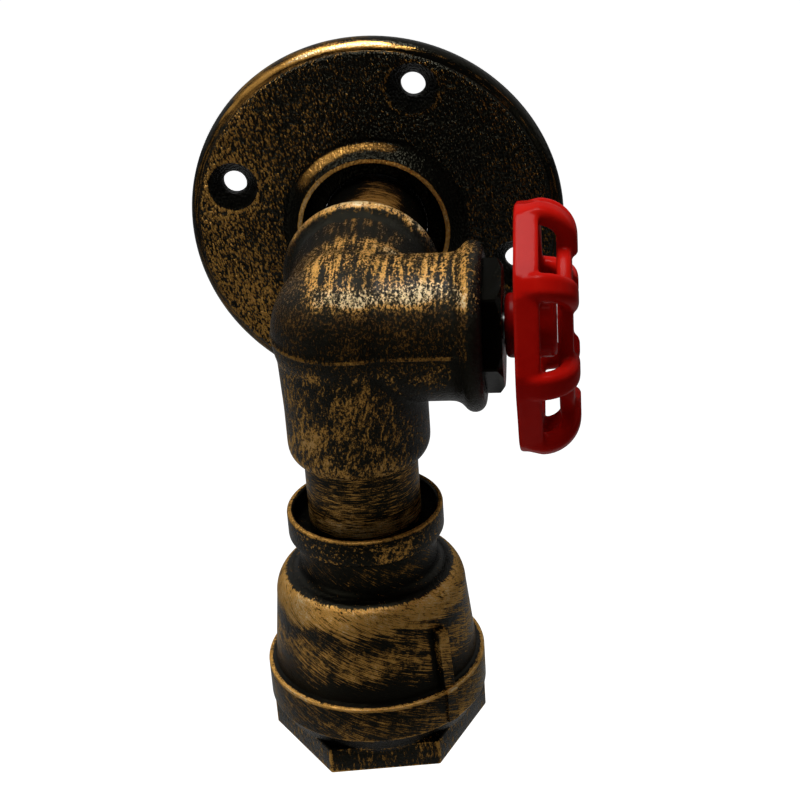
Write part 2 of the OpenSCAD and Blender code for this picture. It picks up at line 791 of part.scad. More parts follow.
module holder_skirt() {
    color([0.10, 0.09, 0.08]) at_cup() translate([0, 0, -skirt_low])
        tube(holder_r, skirt_bore_r, skirt_low - skirt_top);
}

module screw_shell() {
    color([0.85, 0.68, 0.33]) at_cup() translate([0, 0, -shell_low])
        tube(socket_thread_r + socket_wall, socket_thread_r, socket_len);
}

module centre_contact() {
    clip_z = ledge - stop_gap;
    color([0.86, 0.69, 0.35]) at_cup() {
        translate([0, 0, -head_top - head_t]) cylinder(r = head_r, h = head_t);
        translate([0, 0, -head_top - head_t / 2])
            cylinder(r = stem_r, h = head_top + head_t / 2 - clip_z + clip_t);
        translate([0, 0, -clip_z]) cylinder(r = clip_r, h = clip_t);
    }
}

module contact_spring() {
    ring_steps = 8;
    spring_top = block_low - spring_pocket + spring_wire_r + slip;
    spring_low = head_top - spring_wire_r - slip;
    steps = spring_turns * ring_steps;
    coil = [
        for (k = [0 : steps])
            let (a = 360 * k / ring_steps, z = spring_top + (spring_low - spring_top) * k / steps)
            [spring_r * cos(a), spring_r * sin(a), -z]
    ];
    turn_gap = (spring_low - spring_top) / spring_turns - 2 * spring_wire_r;
    echo(least_gap_between_spring_turns = turn_gap);
    color([0.75, 0.75, 0.74]) at_cup() swept_tube(coil, spring_wire_r, 6);
}

// Places of the terminal block's poles
module each_pole() {
    for (k = [-1 : 1]) translate([k * pole_step, 0, 0]) children();
}

// Depths of the terminal block's screws, from its wall end
screw_places = [block_len / 4, block_len * 3 / 4];
block_screw_r = 1.5;
block_screw_h = 2.4;

module terminal_block() {
    color([0.88, 0.88, 0.85]) off_wall() translate([0, 0, block_back]) difference() {
        translate([-block_w / 2, -block_t / 2, 0]) cube([block_w, block_t, block_len]);
        each_pole() {
            translate([0, 0, -over]) cylinder(r = wire_r + 2 * slip, h = block_len + 2 * over);
            for (z = screw_places) translate([0, wire_r + 2 * slip, z]) rotate([-90, 0, 0])
                cylinder(r = block_screw_r + slip, h = block_t);
        }
    }
}

module terminal_screws() {
    color([0.78, 0.76, 0.68]) off_wall() translate([0, wire_r + 3 * slip, block_back]) each_pole()
        for (z = screw_places) translate([0, 0, z]) rotate([-90, 0, 0])
            cylinder(r = block_screw_r, h = block_screw_h);
}

module live_wire() color([0.45, 0.25, 0.12]) wire(live_route);
module switched_wire() color([0.40, 0.22, 0.10]) wire(switched_route);
module neutral_wire() color([0.15, 0.30, 0.65]) wire(neutral_route);
module earth_wire() color([0.55, 0.65, 0.15]) wire(earth_route);

wall_flange();
wall_nipple();
outlet_elbow();
drop_nipple();
lamp_cup();
hex_plug();
switch_case();
switch_base();
switch_contacts();
switch_screws();
switch_rotor();
rotor_bridge();
switch_spindle();
handwheel();
wheel_washer();
wheel_screw();
threaded_tube();
tube_nut();
earth_tag();
holder_cap();
holder_block();
holder_terminals();
holder_skirt();
screw_shell();
centre_contact();
contact_spring();
terminal_block();
terminal_screws();
live_wire();
switched_wire();
neutral_wire();
earth_wire();
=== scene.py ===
"""Looks of the pipe wall light: castings in black paint brushed with bronze, and a red enamel handwheel."""
from contextlib import contextmanager
from math import copysign, cos, pi, radians, sin

import bpy
import numpy as np
from mathutils import Matrix, Vector


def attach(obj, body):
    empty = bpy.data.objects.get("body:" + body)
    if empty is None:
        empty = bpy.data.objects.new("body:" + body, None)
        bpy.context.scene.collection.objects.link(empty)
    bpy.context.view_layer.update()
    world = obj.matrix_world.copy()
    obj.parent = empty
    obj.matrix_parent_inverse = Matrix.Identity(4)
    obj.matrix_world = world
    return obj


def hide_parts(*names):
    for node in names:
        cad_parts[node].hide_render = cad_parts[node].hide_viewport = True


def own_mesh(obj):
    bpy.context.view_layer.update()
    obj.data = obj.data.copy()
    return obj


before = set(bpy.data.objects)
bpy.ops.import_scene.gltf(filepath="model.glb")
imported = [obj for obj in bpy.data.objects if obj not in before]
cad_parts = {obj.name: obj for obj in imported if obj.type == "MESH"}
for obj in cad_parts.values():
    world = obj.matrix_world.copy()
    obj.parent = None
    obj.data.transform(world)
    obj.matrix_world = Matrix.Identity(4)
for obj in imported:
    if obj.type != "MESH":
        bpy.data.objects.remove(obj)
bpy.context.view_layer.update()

MM = 0.001

# Sizes of the light in millimetres, as in its drawing, and turns in degrees

# Wall flange
FLANGE_R, PLATE_T, PLATE_ROUND = 48.6, 5.7, 4.4
HOLE_COUNT, HOLE_TURN, HOLE_CIRCLE_R, HOLE_R, SINK_R = 4, 18.0, 38.0, 3.15, 6.5
COLLAR_BASE_R, COLLAR_RIM_R, COLLAR_TOP = 22.4, 19.9, 10.2
RECESS_R, RECESS_DEPTH = 18.2, 5.5

# Pipes
PIPE_R, PIPE_BORE_R, SOCKET_R, THREAD_LEN = 13.45, 10.85, 13.5, 14.0
WALL_PIPE_ENDS, DROP_PIPE_ENDS = (1.0, 51.0), (-60.4, -17.8)

# Elbow
ARM = 69.8
TUBE_R, BODY_R, HOLLOW_R, PASSAGE_R = 16.8, 18.2, 14.0, 11.5
BEAD_R, BEAD_ROUND, BACK_BEAD, SIDE_BEAD = 19.5, 2.6, 30.0, 28.2
DROP_LEN, DROP_ROUND, DROP_ROUND_H, DROP_FLARE = 31.6, 3.2, 4.4, 0.7

# Lamp cup, down from its rim
CUP_RIM, CUP_H = -45.6, 61.4
LIP_R, LIP_H, LIP_RECESS_R, LIP_RECESS = 18.7, 6.8, 17.2, 5.0
NECK_R, NECK_FILLET, WEB_TOP, WEB_LOW, TUBE_HOLE_R = 16.6, 2.0, 15.0, 18.5, 5.05
SHOULDER, DOME_H, DOME_LOW = 16.4, 6.5, 22.9
BELL_TOP_R, BELL_LOW_R, BELL_BORE_R, BELL_ROUND = 23.1, 24.9, 20.5, 8.5
BAND_R, BAND_TOP, BAND_LOW = 26.8, 41.1, 50.4
HEX_R, HEX_H, HEX_TURN = 26.5, 7.1, 7.4
RIB_W, RIB_TOP, RIB_PROUD, RIB_ON_BAND, RIB_TURN = 3.2, 25.5, 1.7, 0.45, 47.0

# Plug and switch, along the side outlet
PORT_FACE, PLUG_FRONT, PLUG_FLATS, PLUG_TURN = 30.8, 35.0, 27.2, 15.0
SHANK_START, ROOM_START = 17.0, 10.0
CASE_R, CASE_FRONT, CASE_NECK_R, CASE_ROOM = 10.6, 32.4, 5.0, 0.2

# Handwheel, along the same line
WHEEL_R, WHEEL_BACK, WHEEL_MID, WHEEL_FRONT, WHEEL_WALL = 29.8, 38.1, 43.6, 52.0, 3.6
BAR_COUNT, BAR_TURN, BAR_W, BAR_T, BAR_EDGE = 8, -4.0, 6.2, 4.4, 1.9
BAR_ROUND, BAR_PROUD, BAR_END, BAR_SINK = 8.8, 0.9, 18.0, 1.2
RING_R, RING_W, RING_FRONT, RING_T = 20.8, 3.8, 50.65, 3.4
SPOKE_COUNT, SPOKE_W, SPOKE_T, SPOKE_START, SPOKE_SINK = 4, 7.0, 4.0, 4.0, 1.5
HUB_R, HUB_START, HUB_WELL, WELL_R, SPINDLE_R = 7.4, 35.3, 3.4, 5.4, 3.05
WASHER_R, WASHER_T = 5.0, 0.8
SCREW_R, SCREW_HEAD, SCREW_SHANK, SCREW_LEN, SCREW_SLOT = 3.8, 2.4, 1.5, 7.0, 0.9

# Lampholder, by height
HOLDER_R, SKIRT_BORE_R, SKIRT_TOP, SKIRT_LOW = 19.2, 14.0, -80.1, -104.5
BLOCK_R, BLOCK_NECK_R, BLOCK_TOP, BLOCK_LOW, POCKET_R, POCKET = 16.8, 13.8, -76.1, -82.1, 3.6, 3.4
STEM_R, HEAD_R, HEAD_TOP, HEAD_T = 2.0, 4.2, -83.8, 1.3
CLIP_R, CLIP_LOW, CLIP_T = 3.0, -75.9, 0.8
SHELL_TOP, SHELL_LOW, SHELL_WALL = -85.3, -103.3, 0.5
THREAD_R, THREAD_DEPTH, THREAD_PITCH, THREAD_TURNS = 13.25, 1.1, 3.62, 7
SPRING_R, SPRING_WIRE, SPRING_TOP, SPRING_LOW, SPRING_TURNS = 2.9, 0.3, -79.05, -83.45, 4

# Terminal block and wires
TERMINAL_W, TERMINAL_T, TERMINAL_BACK, TERMINAL_LEN = 18.6, 9.4, 7.0, 16.0
POLES, POLE_STEP, POLE_R = (-1, 0, 1), 5.5, 1.1
GRUB_R, GRUB_LOW, GRUB_HIGH, GRUB_PLACES = 1.5, 1.15, 3.55, (11.0, 19.0)
WIRE_R, TUBE_LEAD = 1.0, 1.6

# Room between pieces, and how far a cutting tool runs past a face
CLEAR, PAST = 0.05, 1.0

# Stage: the camera fitted to the photograph, with its place and lens in millimetres, and the rest in metres
CAMERA_PLACE = (51.81663, -447.54168, 173.08636)
CAMERA_RIGHT, CAMERA_UP = (0.99497, 0.07716, -0.0639), (0.02202, 0.45383, 0.89082)
CAMERA_LENS, CAMERA_SENSOR, CAMERA_NEAR = 82.687, 36, 0.01
MIDDLE = (0, -0.06, -0.02)
LAMPS = (
    ("overhead_softbox", (-0.07, 0.03, 0.78), (-0.04, -0.06, -0.02), 0.40, 0.44, 7.0),
    ("front_fill", (-0.72, -0.70, 0.12), MIDDLE, 0.8, 0.8, 1.35),
    ("right_fill", (0.8, -0.35, 0.25), MIDDLE, 0.5, 0.5, 0.2),
)
FLOOR_SIZE, FLOOR_LEVEL = 8, -0.62


# Working tools

class Line:
    """An axis that pieces are turned about: its start, its direction and the side of their outlines."""

    def __init__(self, start, along, out):
        self.start, self.along, self.out = Vector(start), Vector(along), Vector(out)

    def at(self, r, h):
        """The place at a radius and at a length along the line."""
        return (self.start + self.along * h + self.out * r) * MM

    def through(self, start):
        """The same line from another start."""
        return Line(start, self.along, self.out)


ELBOW = (0, -ARM, 0)
OFF_WALL = Line((0, 0, 0), (0, -1, 0), (1, 0, 0))
TO_WALL = Line(ELBOW, (0, 1, 0), (1, 0, 0))
SWITCH = Line(ELBOW, (1, 0, 0), (0, 0, 1))
UPRIGHT = Line(ELBOW, (0, 0, 1), (1, 0, 0))
DOWNWARDS = Line(ELBOW, (0, 0, -1), (1, 0, 0))
CUP = UPRIGHT.through((0, -ARM, CUP_RIM))


def pick(*pieces):
    """Selects these pieces, or nothing, with the first one active."""
    bpy.ops.object.select_all(action="DESELECT")
    for piece in reversed(pieces):
        piece.select_set(True)
        bpy.context.view_layer.objects.active = piece


@contextmanager
def editing(piece, chosen=None):
    """Edit mode on one piece, with everything in it selected, or only the points that are chosen."""
    pick(piece)
    bpy.ops.object.mode_set(mode="EDIT")
    select_points("SELECT" if chosen is None else "DESELECT")
    if chosen is not None:
        bpy.ops.object.mode_set(mode="OBJECT")
        piece.data.vertices.foreach_set("select", chosen)
        bpy.ops.object.mode_set(mode="EDIT")
    yield
    bpy.ops.object.mode_set(mode="OBJECT")


def named(name):
    """The primitive just added, under its name and with its place in its mesh."""
    piece = bpy.context.object
    piece.name = name
    pick(piece)
    bpy.ops.object.transform_apply(location=True, rotation=True, scale=True)
    return piece


def arc(centre, radius, start, end, steps):
    """Points of an outline's arc, from one angle to another, in degrees."""
    across, along = radius if isinstance(radius, tuple) else (radius, radius)
    angles = [radians(start + (end - start) * k / steps) for k in range(steps + 1)]
    return [(centre[0] + across * cos(a), centre[1] + along * sin(a)) for a in angles]


def corner(r, h, ease, start, end, steps=4):
    """Points of an outline's corner, rounded by ease, from one angle to another."""
    middle = radians((start + end) / 2)
    centre = r - copysign(ease, cos(middle)), h - copysign(ease, sin(middle))
    return arc(centre, ease, start, end, steps)


def ring_outline(inner, outer, low, high, outer_ease, inner_ease=1.0):
    """The outline of a ring with rounded edges."""
    outside = corner(outer, low, outer_ease, -90, 0) + corner(outer, high, outer_ease, 0, 90)
    return outside + corner(inner, high, inner_ease, 90, 180) + corner(inner, low, inner_ease, 180, 270)


def chamfered_outline(inner, outer, low, high, chamfer):
    """The outline of a ring, or of a rod, with its outer edges chamfered."""
    start = [(inner, low), (outer - chamfer, low), (outer, low + chamfer)]
    return start + [(outer, high - chamfer), (outer - chamfer, high), (inner, high)]


def select_points(action="SELECT"):
    bpy.ops.mesh.select_all(action=action)


def extrude(by):
    bpy.ops.mesh.extrude_region_move(TRANSFORM_OT_translate={"value": by})


def closed():
    """Merges doubles and points every face outwards, in edit mode."""
    select_points()
    bpy.ops.mesh.remove_doubles(threshold=0.001 * MM)
    bpy.ops.mesh.normals_make_consistent(inside=False)


def drawn(name, places):
    """An outline, drawn point by point."""
    pick()
    bpy.ops.mesh.primitive_plane_add(size=MM, location=places[0])
    piece = named(name)
    with editing(piece):
        bpy.ops.mesh.merge(type="CENTER")
        for a, b in zip(places, places[1:]):
            extrude(b - a)
    return piece


def turned(name, line, outline, steps=128, ring=False):
    """A turned piece: its outline, closed for a ring, spun about the line."""
    piece = drawn(name, [line.at(r, h) for r, h in outline + outline[:1] * ring])
    with editing(piece):
        bpy.ops.mesh.spin(steps=steps, angle=2 * pi, center=line.at(0, 0), axis=line.along)
        closed()
    return piece


def modified(piece, kind, **settings):
    """Gives the piece a modifier with these settings and applies it."""
    modifier = piece.modifiers.new(kind.lower(), kind)
    for key, value in settings.items():
        setattr(modifier, key, value)
    pick(piece)
    bpy.ops.object.modifier_apply(modifier=modifier.name)
    return piece


def shaped_by(piece, operation, *tools):
    """Joins, cuts or keeps the piece with each of the tools, which are used up."""
    for tool in tools:
        modified(piece, "BOOLEAN", operation=operation, solver="MANIFOLD", object=tool)
        bpy.data.objects.remove(tool)
    return piece


def cut(piece, *tools):
    return shaped_by(piece, "DIFFERENCE", *tools)


def cast(piece, grain, rounds):
    """Runs the piece's edges and corners together as a casting has them."""
    modified(piece, "REMESH", mode="VOXEL", voxel_size=grain * MM)
    modified(piece, "SMOOTH", factor=0.5, iterations=rounds)


def eased(piece, width):
    """Rounds the piece's edges."""
    sharp = radians(25)
    return modified(piece, "BEVEL", width=width * MM, segments=3, limit_method="ANGLE", angle_limit=sharp)


def cylinder(name, line, radius, low, high, sides=128, turn=0.0):
    """A cylinder or prism along a line."""
    rest = Vector((0, 0, 1)).rotation_difference(line.along).to_matrix().to_4x4()
    spin = rest @ Matrix.Rotation(radians(turn), 4, "Z")
    pick()
    bpy.ops.mesh.primitive_cylinder_add(
        vertices=sides, radius=radius * MM, depth=(high - low) * MM,
        location=line.at(0, (low + high) / 2), rotation=spin.to_euler(),
    )
    return named(name)


def ball(name, centre, radius):
    pick()
    bpy.ops.mesh.primitive_uv_sphere_add(
        segments=96, ring_count=48, radius=radius * MM, location=Vector(centre) * MM)
    return named(name)


def block(name, low, high):
    """A box between two corners."""
    low, high = Vector(low) * MM, Vector(high) * MM
    pick()
    bpy.ops.mesh.primitive_cube_add(size=1, location=(low + high) / 2)
    bpy.context.object.scale = high - low
    return named(name)


def spun_copies(piece, line, count, first):
    """Copies of a piece about a line, each with its own mesh, joined into one."""
    centre = Matrix.Translation(line.at(0, 0))
    copies = []
    for k in range(count):
        copy = piece.copy()
        copy.data = piece.data.copy()
        bpy.context.collection.objects.link(copy)
        turn = Matrix.Rotation(radians(first + 360 * k / count), 4, line.along)
        copy.data.transform(centre @ turn @ centre.inverted())
        copies.append(copy)
    bpy.data.objects.remove(piece)
    return joined(copies[0].name, *copies)


def joined(name, *pieces):
    pick(*pieces)
    bpy.ops.object.join()
    pieces[0].name = name
    return pieces[0]


def rows(mesh, key):
    """The place or normal of each of the mesh's points, a row each."""
    values = np.zeros(len(mesh.vertices) * 3)
    mesh.vertices.foreach_get(key, values)
    return values.reshape(-1, 3)


def note_wear(piece, spread, full):
    """Notes on the mesh how far each point stands out of its neighbourhood, for the brushed edges."""
    mesh = piece.data
    count = len(mesh.vertices)
    place, normal = rows(mesh, "co"), rows(mesh, "normal")
    ends = np.zeros(len(mesh.edges) * 2, dtype=np.int64)
    mesh.edges.foreach_get("vertices", ends)
    a, b = ends[0::2], ends[1::2]
    near = np.bincount(a, minlength=count) + np.bincount(b, minlength=count)
    even = place.copy()
    for _ in range(spread):
        total = [np.bincount(a, even[b, k], count) + np.bincount(b, even[a, k], count) for k in range(3)]
        even = 0.5 * even + 0.5 * np.stack(total, 1) / np.maximum(near, 1)[:, None]
    stand = np.einsum("ij,ij->i", place - even, normal) / (full * MM)
    note = mesh.attributes.new("wear", "FLOAT", "POINT")
    note.data.foreach_set("value", np.clip(stand, -1, 1).astype(np.float32))


# Shader tools

def sums(operation):
    """A method that sums a wire, and what else it is given, by one of the Math node's operations."""
    return lambda *terms: terms[0].finish.node("Math", {"operation": operation}, dict(enumerate(terms)))


class Wire:
    """A shader value that Python's sums work on."""

    def __init__(self, finish, socket):
        self.finish, self.socket = finish, socket

    __add__ = __radd__ = sums("ADD")
    __mul__ = __rmul__ = sums("MULTIPLY")
    __sub__, __truediv__, __pow__ = sums("SUBTRACT"), sums("DIVIDE"), sums("POWER")
    size, sign, most = sums("ABSOLUTE"), sums("SIGN"), sums("MAXIMUM")

    # The angle of a place that is this far up and so far across, in radians
    angle = sums("ARCTAN2")

    # Runs up from 0 to a width and back again
    fold = sums("PINGPONG")

    def __rsub__(self, other):
        return self.finish.node("Math", {"operation": "SUBTRACT"}, {0: other, 1: self})

    def rise(self, start, end):
        """Goes smoothly from 0 at start to 1 at end, which may be the smaller."""
        sockets = {"Value": self, "From Min": start, "From Max": end}
        return self.finish.node("MapRange", {"interpolation_type": "SMOOTHSTEP"}, sockets)

    def band(self, low, high, soft):
        """1 between low and high, and 0 outside."""
        return self.rise(low - soft, low + soft) * (1 - self.rise(high - soft, high + soft))


class Finish:
    """A material, or the world, under its name and built from nodes."""

    def __init__(self, name, kind="materials"):
        self.material = getattr(bpy.data, kind).new(name)
        self.material.use_nodes = True
        self.tree = self.material.node_tree
        self.tree.nodes.clear()

    def node(self, kind, settings, sockets, out=0):
        """A node of any shader type: its settings first, then its sockets' values or links."""
        node = self.tree.nodes.new("ShaderNode" + kind)
        for key, value in settings.items():
            setattr(node, key, value)
        for key, value in sockets.items():
            if isinstance(value, Wire):
                self.tree.links.new(value.socket, node.inputs[key])
            else:
                node.inputs[key].default_value = value
        return Wire(self, node.outputs[out]) if node.outputs else None

    def place(self, centre=(0, 0, 0)):
        """Place on the object in millimetres, counted from a centre."""
        raw = self.node("TexCoord", {}, {}, "Object")
        scaled = self.node("VectorMath", {"operation": "SCALE"}, {0: raw, "Scale": 1 / MM})
        return self.node("VectorMath", {"operation": "SUBTRACT"}, {0: scaled, 1: centre})

    def parts(self, vector):
        """The three values of a vector."""
        first = self.node("SeparateXYZ", {}, {0: vector})
        return [Wire(self, socket) for socket in first.socket.node.outputs]

    def stretched(self, vector, by):
        return self.node("VectorMath", {"operation": "MULTIPLY"}, {0: vector, 1: by})

    def wound(self, vector, angle, axis="Z_AXIS"):
        sockets = {"Vector": vector, "Angle": angle}
        return self.node("VectorRotate", {"rotation_type": axis}, sockets)

    def noise(self, vector, scale, detail=3.0, rough=0.55, bend=0.0):
        sockets = {"Vector": vector, "Scale": scale, "Detail": detail, "Roughness": rough, "Distortion": bend}
        return self.node("TexNoise", {"noise_dimensions": "3D"}, sockets)

    def cells(self, vector, scale):
        return self.node("TexVoronoi", {"feature": "F1"}, {"Vector": vector, "Scale": scale})

    def mark(self, name):
        """A value that was noted on the mesh."""
        return self.node("Attribute", {"attribute_name": name}, {}, "Fac")

    def ray(self, kind):
        """1 for light of this kind, as the Light Path node names it."""
        return self.node("LightPath", {}, {}, kind)

    def seen(self):
        """1 for what the camera looks at, also through something clear."""
        return self.ray("Is Camera Ray").most(self.ray("Is Transmission Ray"))

    def mix(self, factor, a, b):
        """A colour between two, by the Mix node's factor and colour sockets."""
        return self.node("Mix", {"data_type": "RGBA"}, {0: factor, 6: a, 7: b}, 2)

    def bump(self, height, depth, under=None):
        """Relief of a height between 0 and 1 that is depth millimetres deep, over another relief."""
        sockets = {"Height": height, "Strength": 1.0, "Distance": depth * MM}
        if under is not None:
            sockets["Normal"] = under
        return self.node("Bump", {}, sockets)

    def surface(self, **sockets):
        """The shader, with its sockets' values or links, and the material's output."""
        names = {key.replace("_", " ").title().replace("Ior", "IOR"): value for key, value in sockets.items()}
        self.out("OutputMaterial", self.node("BsdfPrincipled", {}, names))
        return self.material

    def out(self, kind, shader):
        self.node(kind, {}, {"Surface": shader})


def rgb(r, g, b):
    return (r, g, b, 1.0)


BLACK = rgb(0.0019, 0.0018, 0.0014)
UMBER = rgb(0.058, 0.025, 0.005)
BRONZE = rgb(0.23, 0.112, 0.024)
GOLD = rgb(0.69, 0.355, 0.08)
PALE = rgb(0.86, 0.69, 0.40)
RUST = rgb(0.11, 0.033, 0.006)


def brushed(finish, amount, fleck, relief, shine, warm=None, gloss=0.15, sheen_coat=0.0):
    """Black paint with bronze brushed over it.

    Amount is how much bronze there is, fleck breaks it up, shine is how rich it is and warm turns it to rust.
    The callers also raise amount and shine where light falls and lower them where shade falls, as painted
    highlights and painted shade.
    Gloss and the coat weight are for the shine of the paint; the elbow lays its coat only where the lamp's
    highlight falls, as a painted sheen.
    """
    fine = finish.noise(finish.place(), 3.6, 3, 0.6)
    over = fleck + (fine - 0.5) * 0.3 + amount - 1
    cover = over.rise(-0.07, 0.1)
    rich = shine + over * 1.4 + (fine - 0.5) * 0.9
    tone = finish.mix(rich.rise(-0.1, 0.55), UMBER, BRONZE)
    tone = finish.mix(rich.rise(0.45, 1.1), tone, GOLD)
    tone = finish.mix(rich.rise(1.2, 1.75), tone, PALE)
    if warm is not None:
        tone = finish.mix(warm, tone, RUST)
    return finish.surface(
        base_color=finish.mix(cover, BLACK, tone),
        metallic=cover * 0.65,
        roughness=0.14 + cover * 0.2,
        normal=relief,
        specular_ior_level=gloss,
        specular_tint=rgb(1.0, 0.94, 0.6),
        coat_weight=sheen_coat,
        coat_roughness=0.32,
    )


# Stage: camera, studio light and floor

def set_camera():
    right, up = Vector(CAMERA_RIGHT), Vector(CAMERA_UP)
    turn = Matrix((right, up, right.cross(up))).transposed().to_euler()
    bpy.ops.object.camera_add(location=Vector(CAMERA_PLACE) * MM, rotation=turn)
    camera = bpy.context.object
    camera.data.lens, camera.data.sensor_width = CAMERA_LENS, CAMERA_SENSOR
    camera.data.clip_start = CAMERA_NEAR
    bpy.context.scene.camera = camera


def add_lamp(name, place, aim, width, length, power):
    """A soft oval lamp."""
    turn = (Vector(aim) - Vector(place)).to_track_quat("-Z", "Y").to_euler()
    bpy.ops.object.light_add(type="AREA", location=place, rotation=turn)
    lamp = bpy.context.object
    lamp.name = name
    lamp.data.shape, lamp.data.energy = "ELLIPSE", power
    lamp.data.size, lamp.data.size_y = width, length


def set_studio():
    bpy.context.scene.view_settings.view_transform = "Standard"
    for lamp in LAMPS:
        add_lamp(*lamp)
    world = Finish("studio", "worlds")
    bpy.context.scene.world = world.material
    _, side, up = world.parts(world.node("TexCoord", {}, {}, "Generated"))
    tent = (side * 0.98 + up * 0.17).rise(-0.05, 0.3) * up.rise(-0.15, 0.15)
    glow = tent * (0.1 + world.ray("Is Glossy Ray") * 0.3)
    level = world.seen().most(glow).most(0.03)
    sky = world.node("Background", {}, {"Color": rgb(1, 1, 1), "Strength": level})
    world.out("OutputWorld", sky)


def set_floor():
    pick()
    bpy.ops.mesh.primitive_plane_add(size=FLOOR_SIZE, location=(0, 0, FLOOR_LEVEL))
    floor = named("studio_floor")
    paper = Finish("white_paper")
    seen = paper.seen()
    grain = paper.noise(paper.place(), 0.02)
    colour = paper.mix(grain, rgb(0.66, 0.66, 0.66), rgb(0.7, 0.7, 0.7))
    sheet = paper.node("BsdfDiffuse", {}, {"Color": paper.mix(seen, rgb(0.8, 0.8, 0.8), colour)})
    glow = paper.node("Emission", {}, {"Color": rgb(1, 1, 1), "Strength": seen * 0.97})
    paper.out("OutputMaterial", paper.node("AddShader", {}, {0: sheet, 1: glow}))
    floor.data.materials.append(paper.material)


# Finishes: a casting's has its grain first, then its regions, then how the bronze lies on it

def finish_flange():
    f = Finish("antique_flange")
    p = f.place()
    x, y, z = f.parts(p)
    r = (x * x + z * z) ** 0.5
    out = 0 - y
    lie = f.wound(p, 0.3, "Y_AXIS")
    leather = f.noise(f.stretched(lie, (2.0, 1.0, 0.9)), 1.0, 3, 0.6, 0.5)
    pebble = 1 - f.cells(f.stretched(lie, (1.8, 1.2, 1.05)), 1.0)
    fine = f.noise(p, 3.5, 3, 0.6)
    patch = f.noise(p, 0.06, 3, 0.6)
    round_about = f.node("CombineXYZ", {}, {0: x / r * 8, 1: z / r * 8, 2: r * 2.2})
    streak = f.noise(round_about, 1.0, 4, 0.6)

    left, low = x.rise(4, -40), z.rise(14, -30)
    top = (z * 0.95 - x * 0.31) / r
    # The rim's top gets thicker, richer bronze along its rounding and keeps it on its outer side: partly the
    # brushed rim line all round, mostly a painted highlight where the light falls on the top
    crown_highlight = top.rise(0.8, 0.97)
    from_edge = r - FLANGE_R
    on_rim = from_edge.rise(-3.3, -2.4)
    rim_line_and_highlight = from_edge.band(-1.7, -0.7, 0.35) * (0.05 + top.rise(0.72, 1.0) * 0.95)
    outside = from_edge.rise(-1.0, -0.3) * (1 - crown_highlight)
    on_collar = r.rise(COLLAR_BASE_R + 1.6, COLLAR_BASE_R + 0.4)
    cone = r.band(COLLAR_RIM_R + 0.3, COLLAR_BASE_R + 0.3, 0.35) * out.rise(COLLAR_TOP - 0.8, COLLAR_TOP - 3)
    # painted shade: less bronze on the collar's cone away from its top, where the light does not reach
    painted_shade_cone = r.band(COLLAR_RIM_R + 0.1, COLLAR_BASE_R + 1.6, 0.4) * (1 - top.rise(0.5, 0.85))
    lip = r.band(RECESS_R + 0.3, COLLAR_RIM_R - 0.3, 0.25) * out.rise(COLLAR_TOP - 1, COLLAR_TOP - 0.3)
    hollow = 1 - r.rise(RECESS_R - 0.1, RECESS_R + 0.3)
    bare = on_rim.most(on_collar)

    grainy = (pebble - 0.55) * 0.6 + (leather - 0.5) * 1.15 + (fine - 0.5) * 0.35 + 0.5
    streaky = (streak - 0.5) * (0.8 - on_collar * 0.5) + (fine - 0.5) * 0.3 + 0.5
    fleck = grainy * (1 - bare) + streaky * bare
    amount = 0.335 + left * 0.2 + x.rise(22, 42) * 0.08 + low * 0.05 + (patch - 0.5) * 0.35
    amount += rim_line_and_highlight * 0.2 + on_rim * (crown_highlight * 0.18 - left * 0.12)
    # On the collar, the cone's top gets more and richer bronze here and in shine below, a painted highlight;
    # the lip's bronze is its brushed rim
    amount += cone * top.rise(0.66, 0.95) * 0.32 + lip * 0.36
    amount -= outside * 0.34 + painted_shade_cone * 0.26 + hollow * 0.7 + out.rise(1.4, 0.3) * 0.75
    for hole_x, hole_z in hole_centres():
        across, up = x - hole_x, z - hole_z
        hole = (across * across + up * up) ** 0.5
        amount += hole.band(SINK_R, SINK_R + 0.9, 0.3) * 0.14
        amount -= (1 - hole.rise(SINK_R - 0.4, SINK_R + 0.1)) * 0.6
    shine = 0.25 + left * 0.35 + low * 0.1 + (patch - 0.5) * 0.6 - on_rim * left * 0.35
    # painted highlight: the rim line's shine is strongest at the top, where the light falls
    shine += rim_line_and_highlight * (1.05 + streak * 0.6 - left * 0.9) - on_rim * crown_highlight * 0.2
    shine += cone * (top.rise(0.7, 1.0) * 0.95 - 0.5) + lip * 0.6
    rough = 1 - on_rim * 0.93 - on_collar * 0.7
    relief = f.bump(pebble * rough, 1.0, f.bump(leather * rough, 0.8))
    warm = x.rise(10, 40) * patch.rise(0.4, 0.6) * 0.7
    return brushed(f, amount, fleck, relief, shine, warm, gloss=0.14)


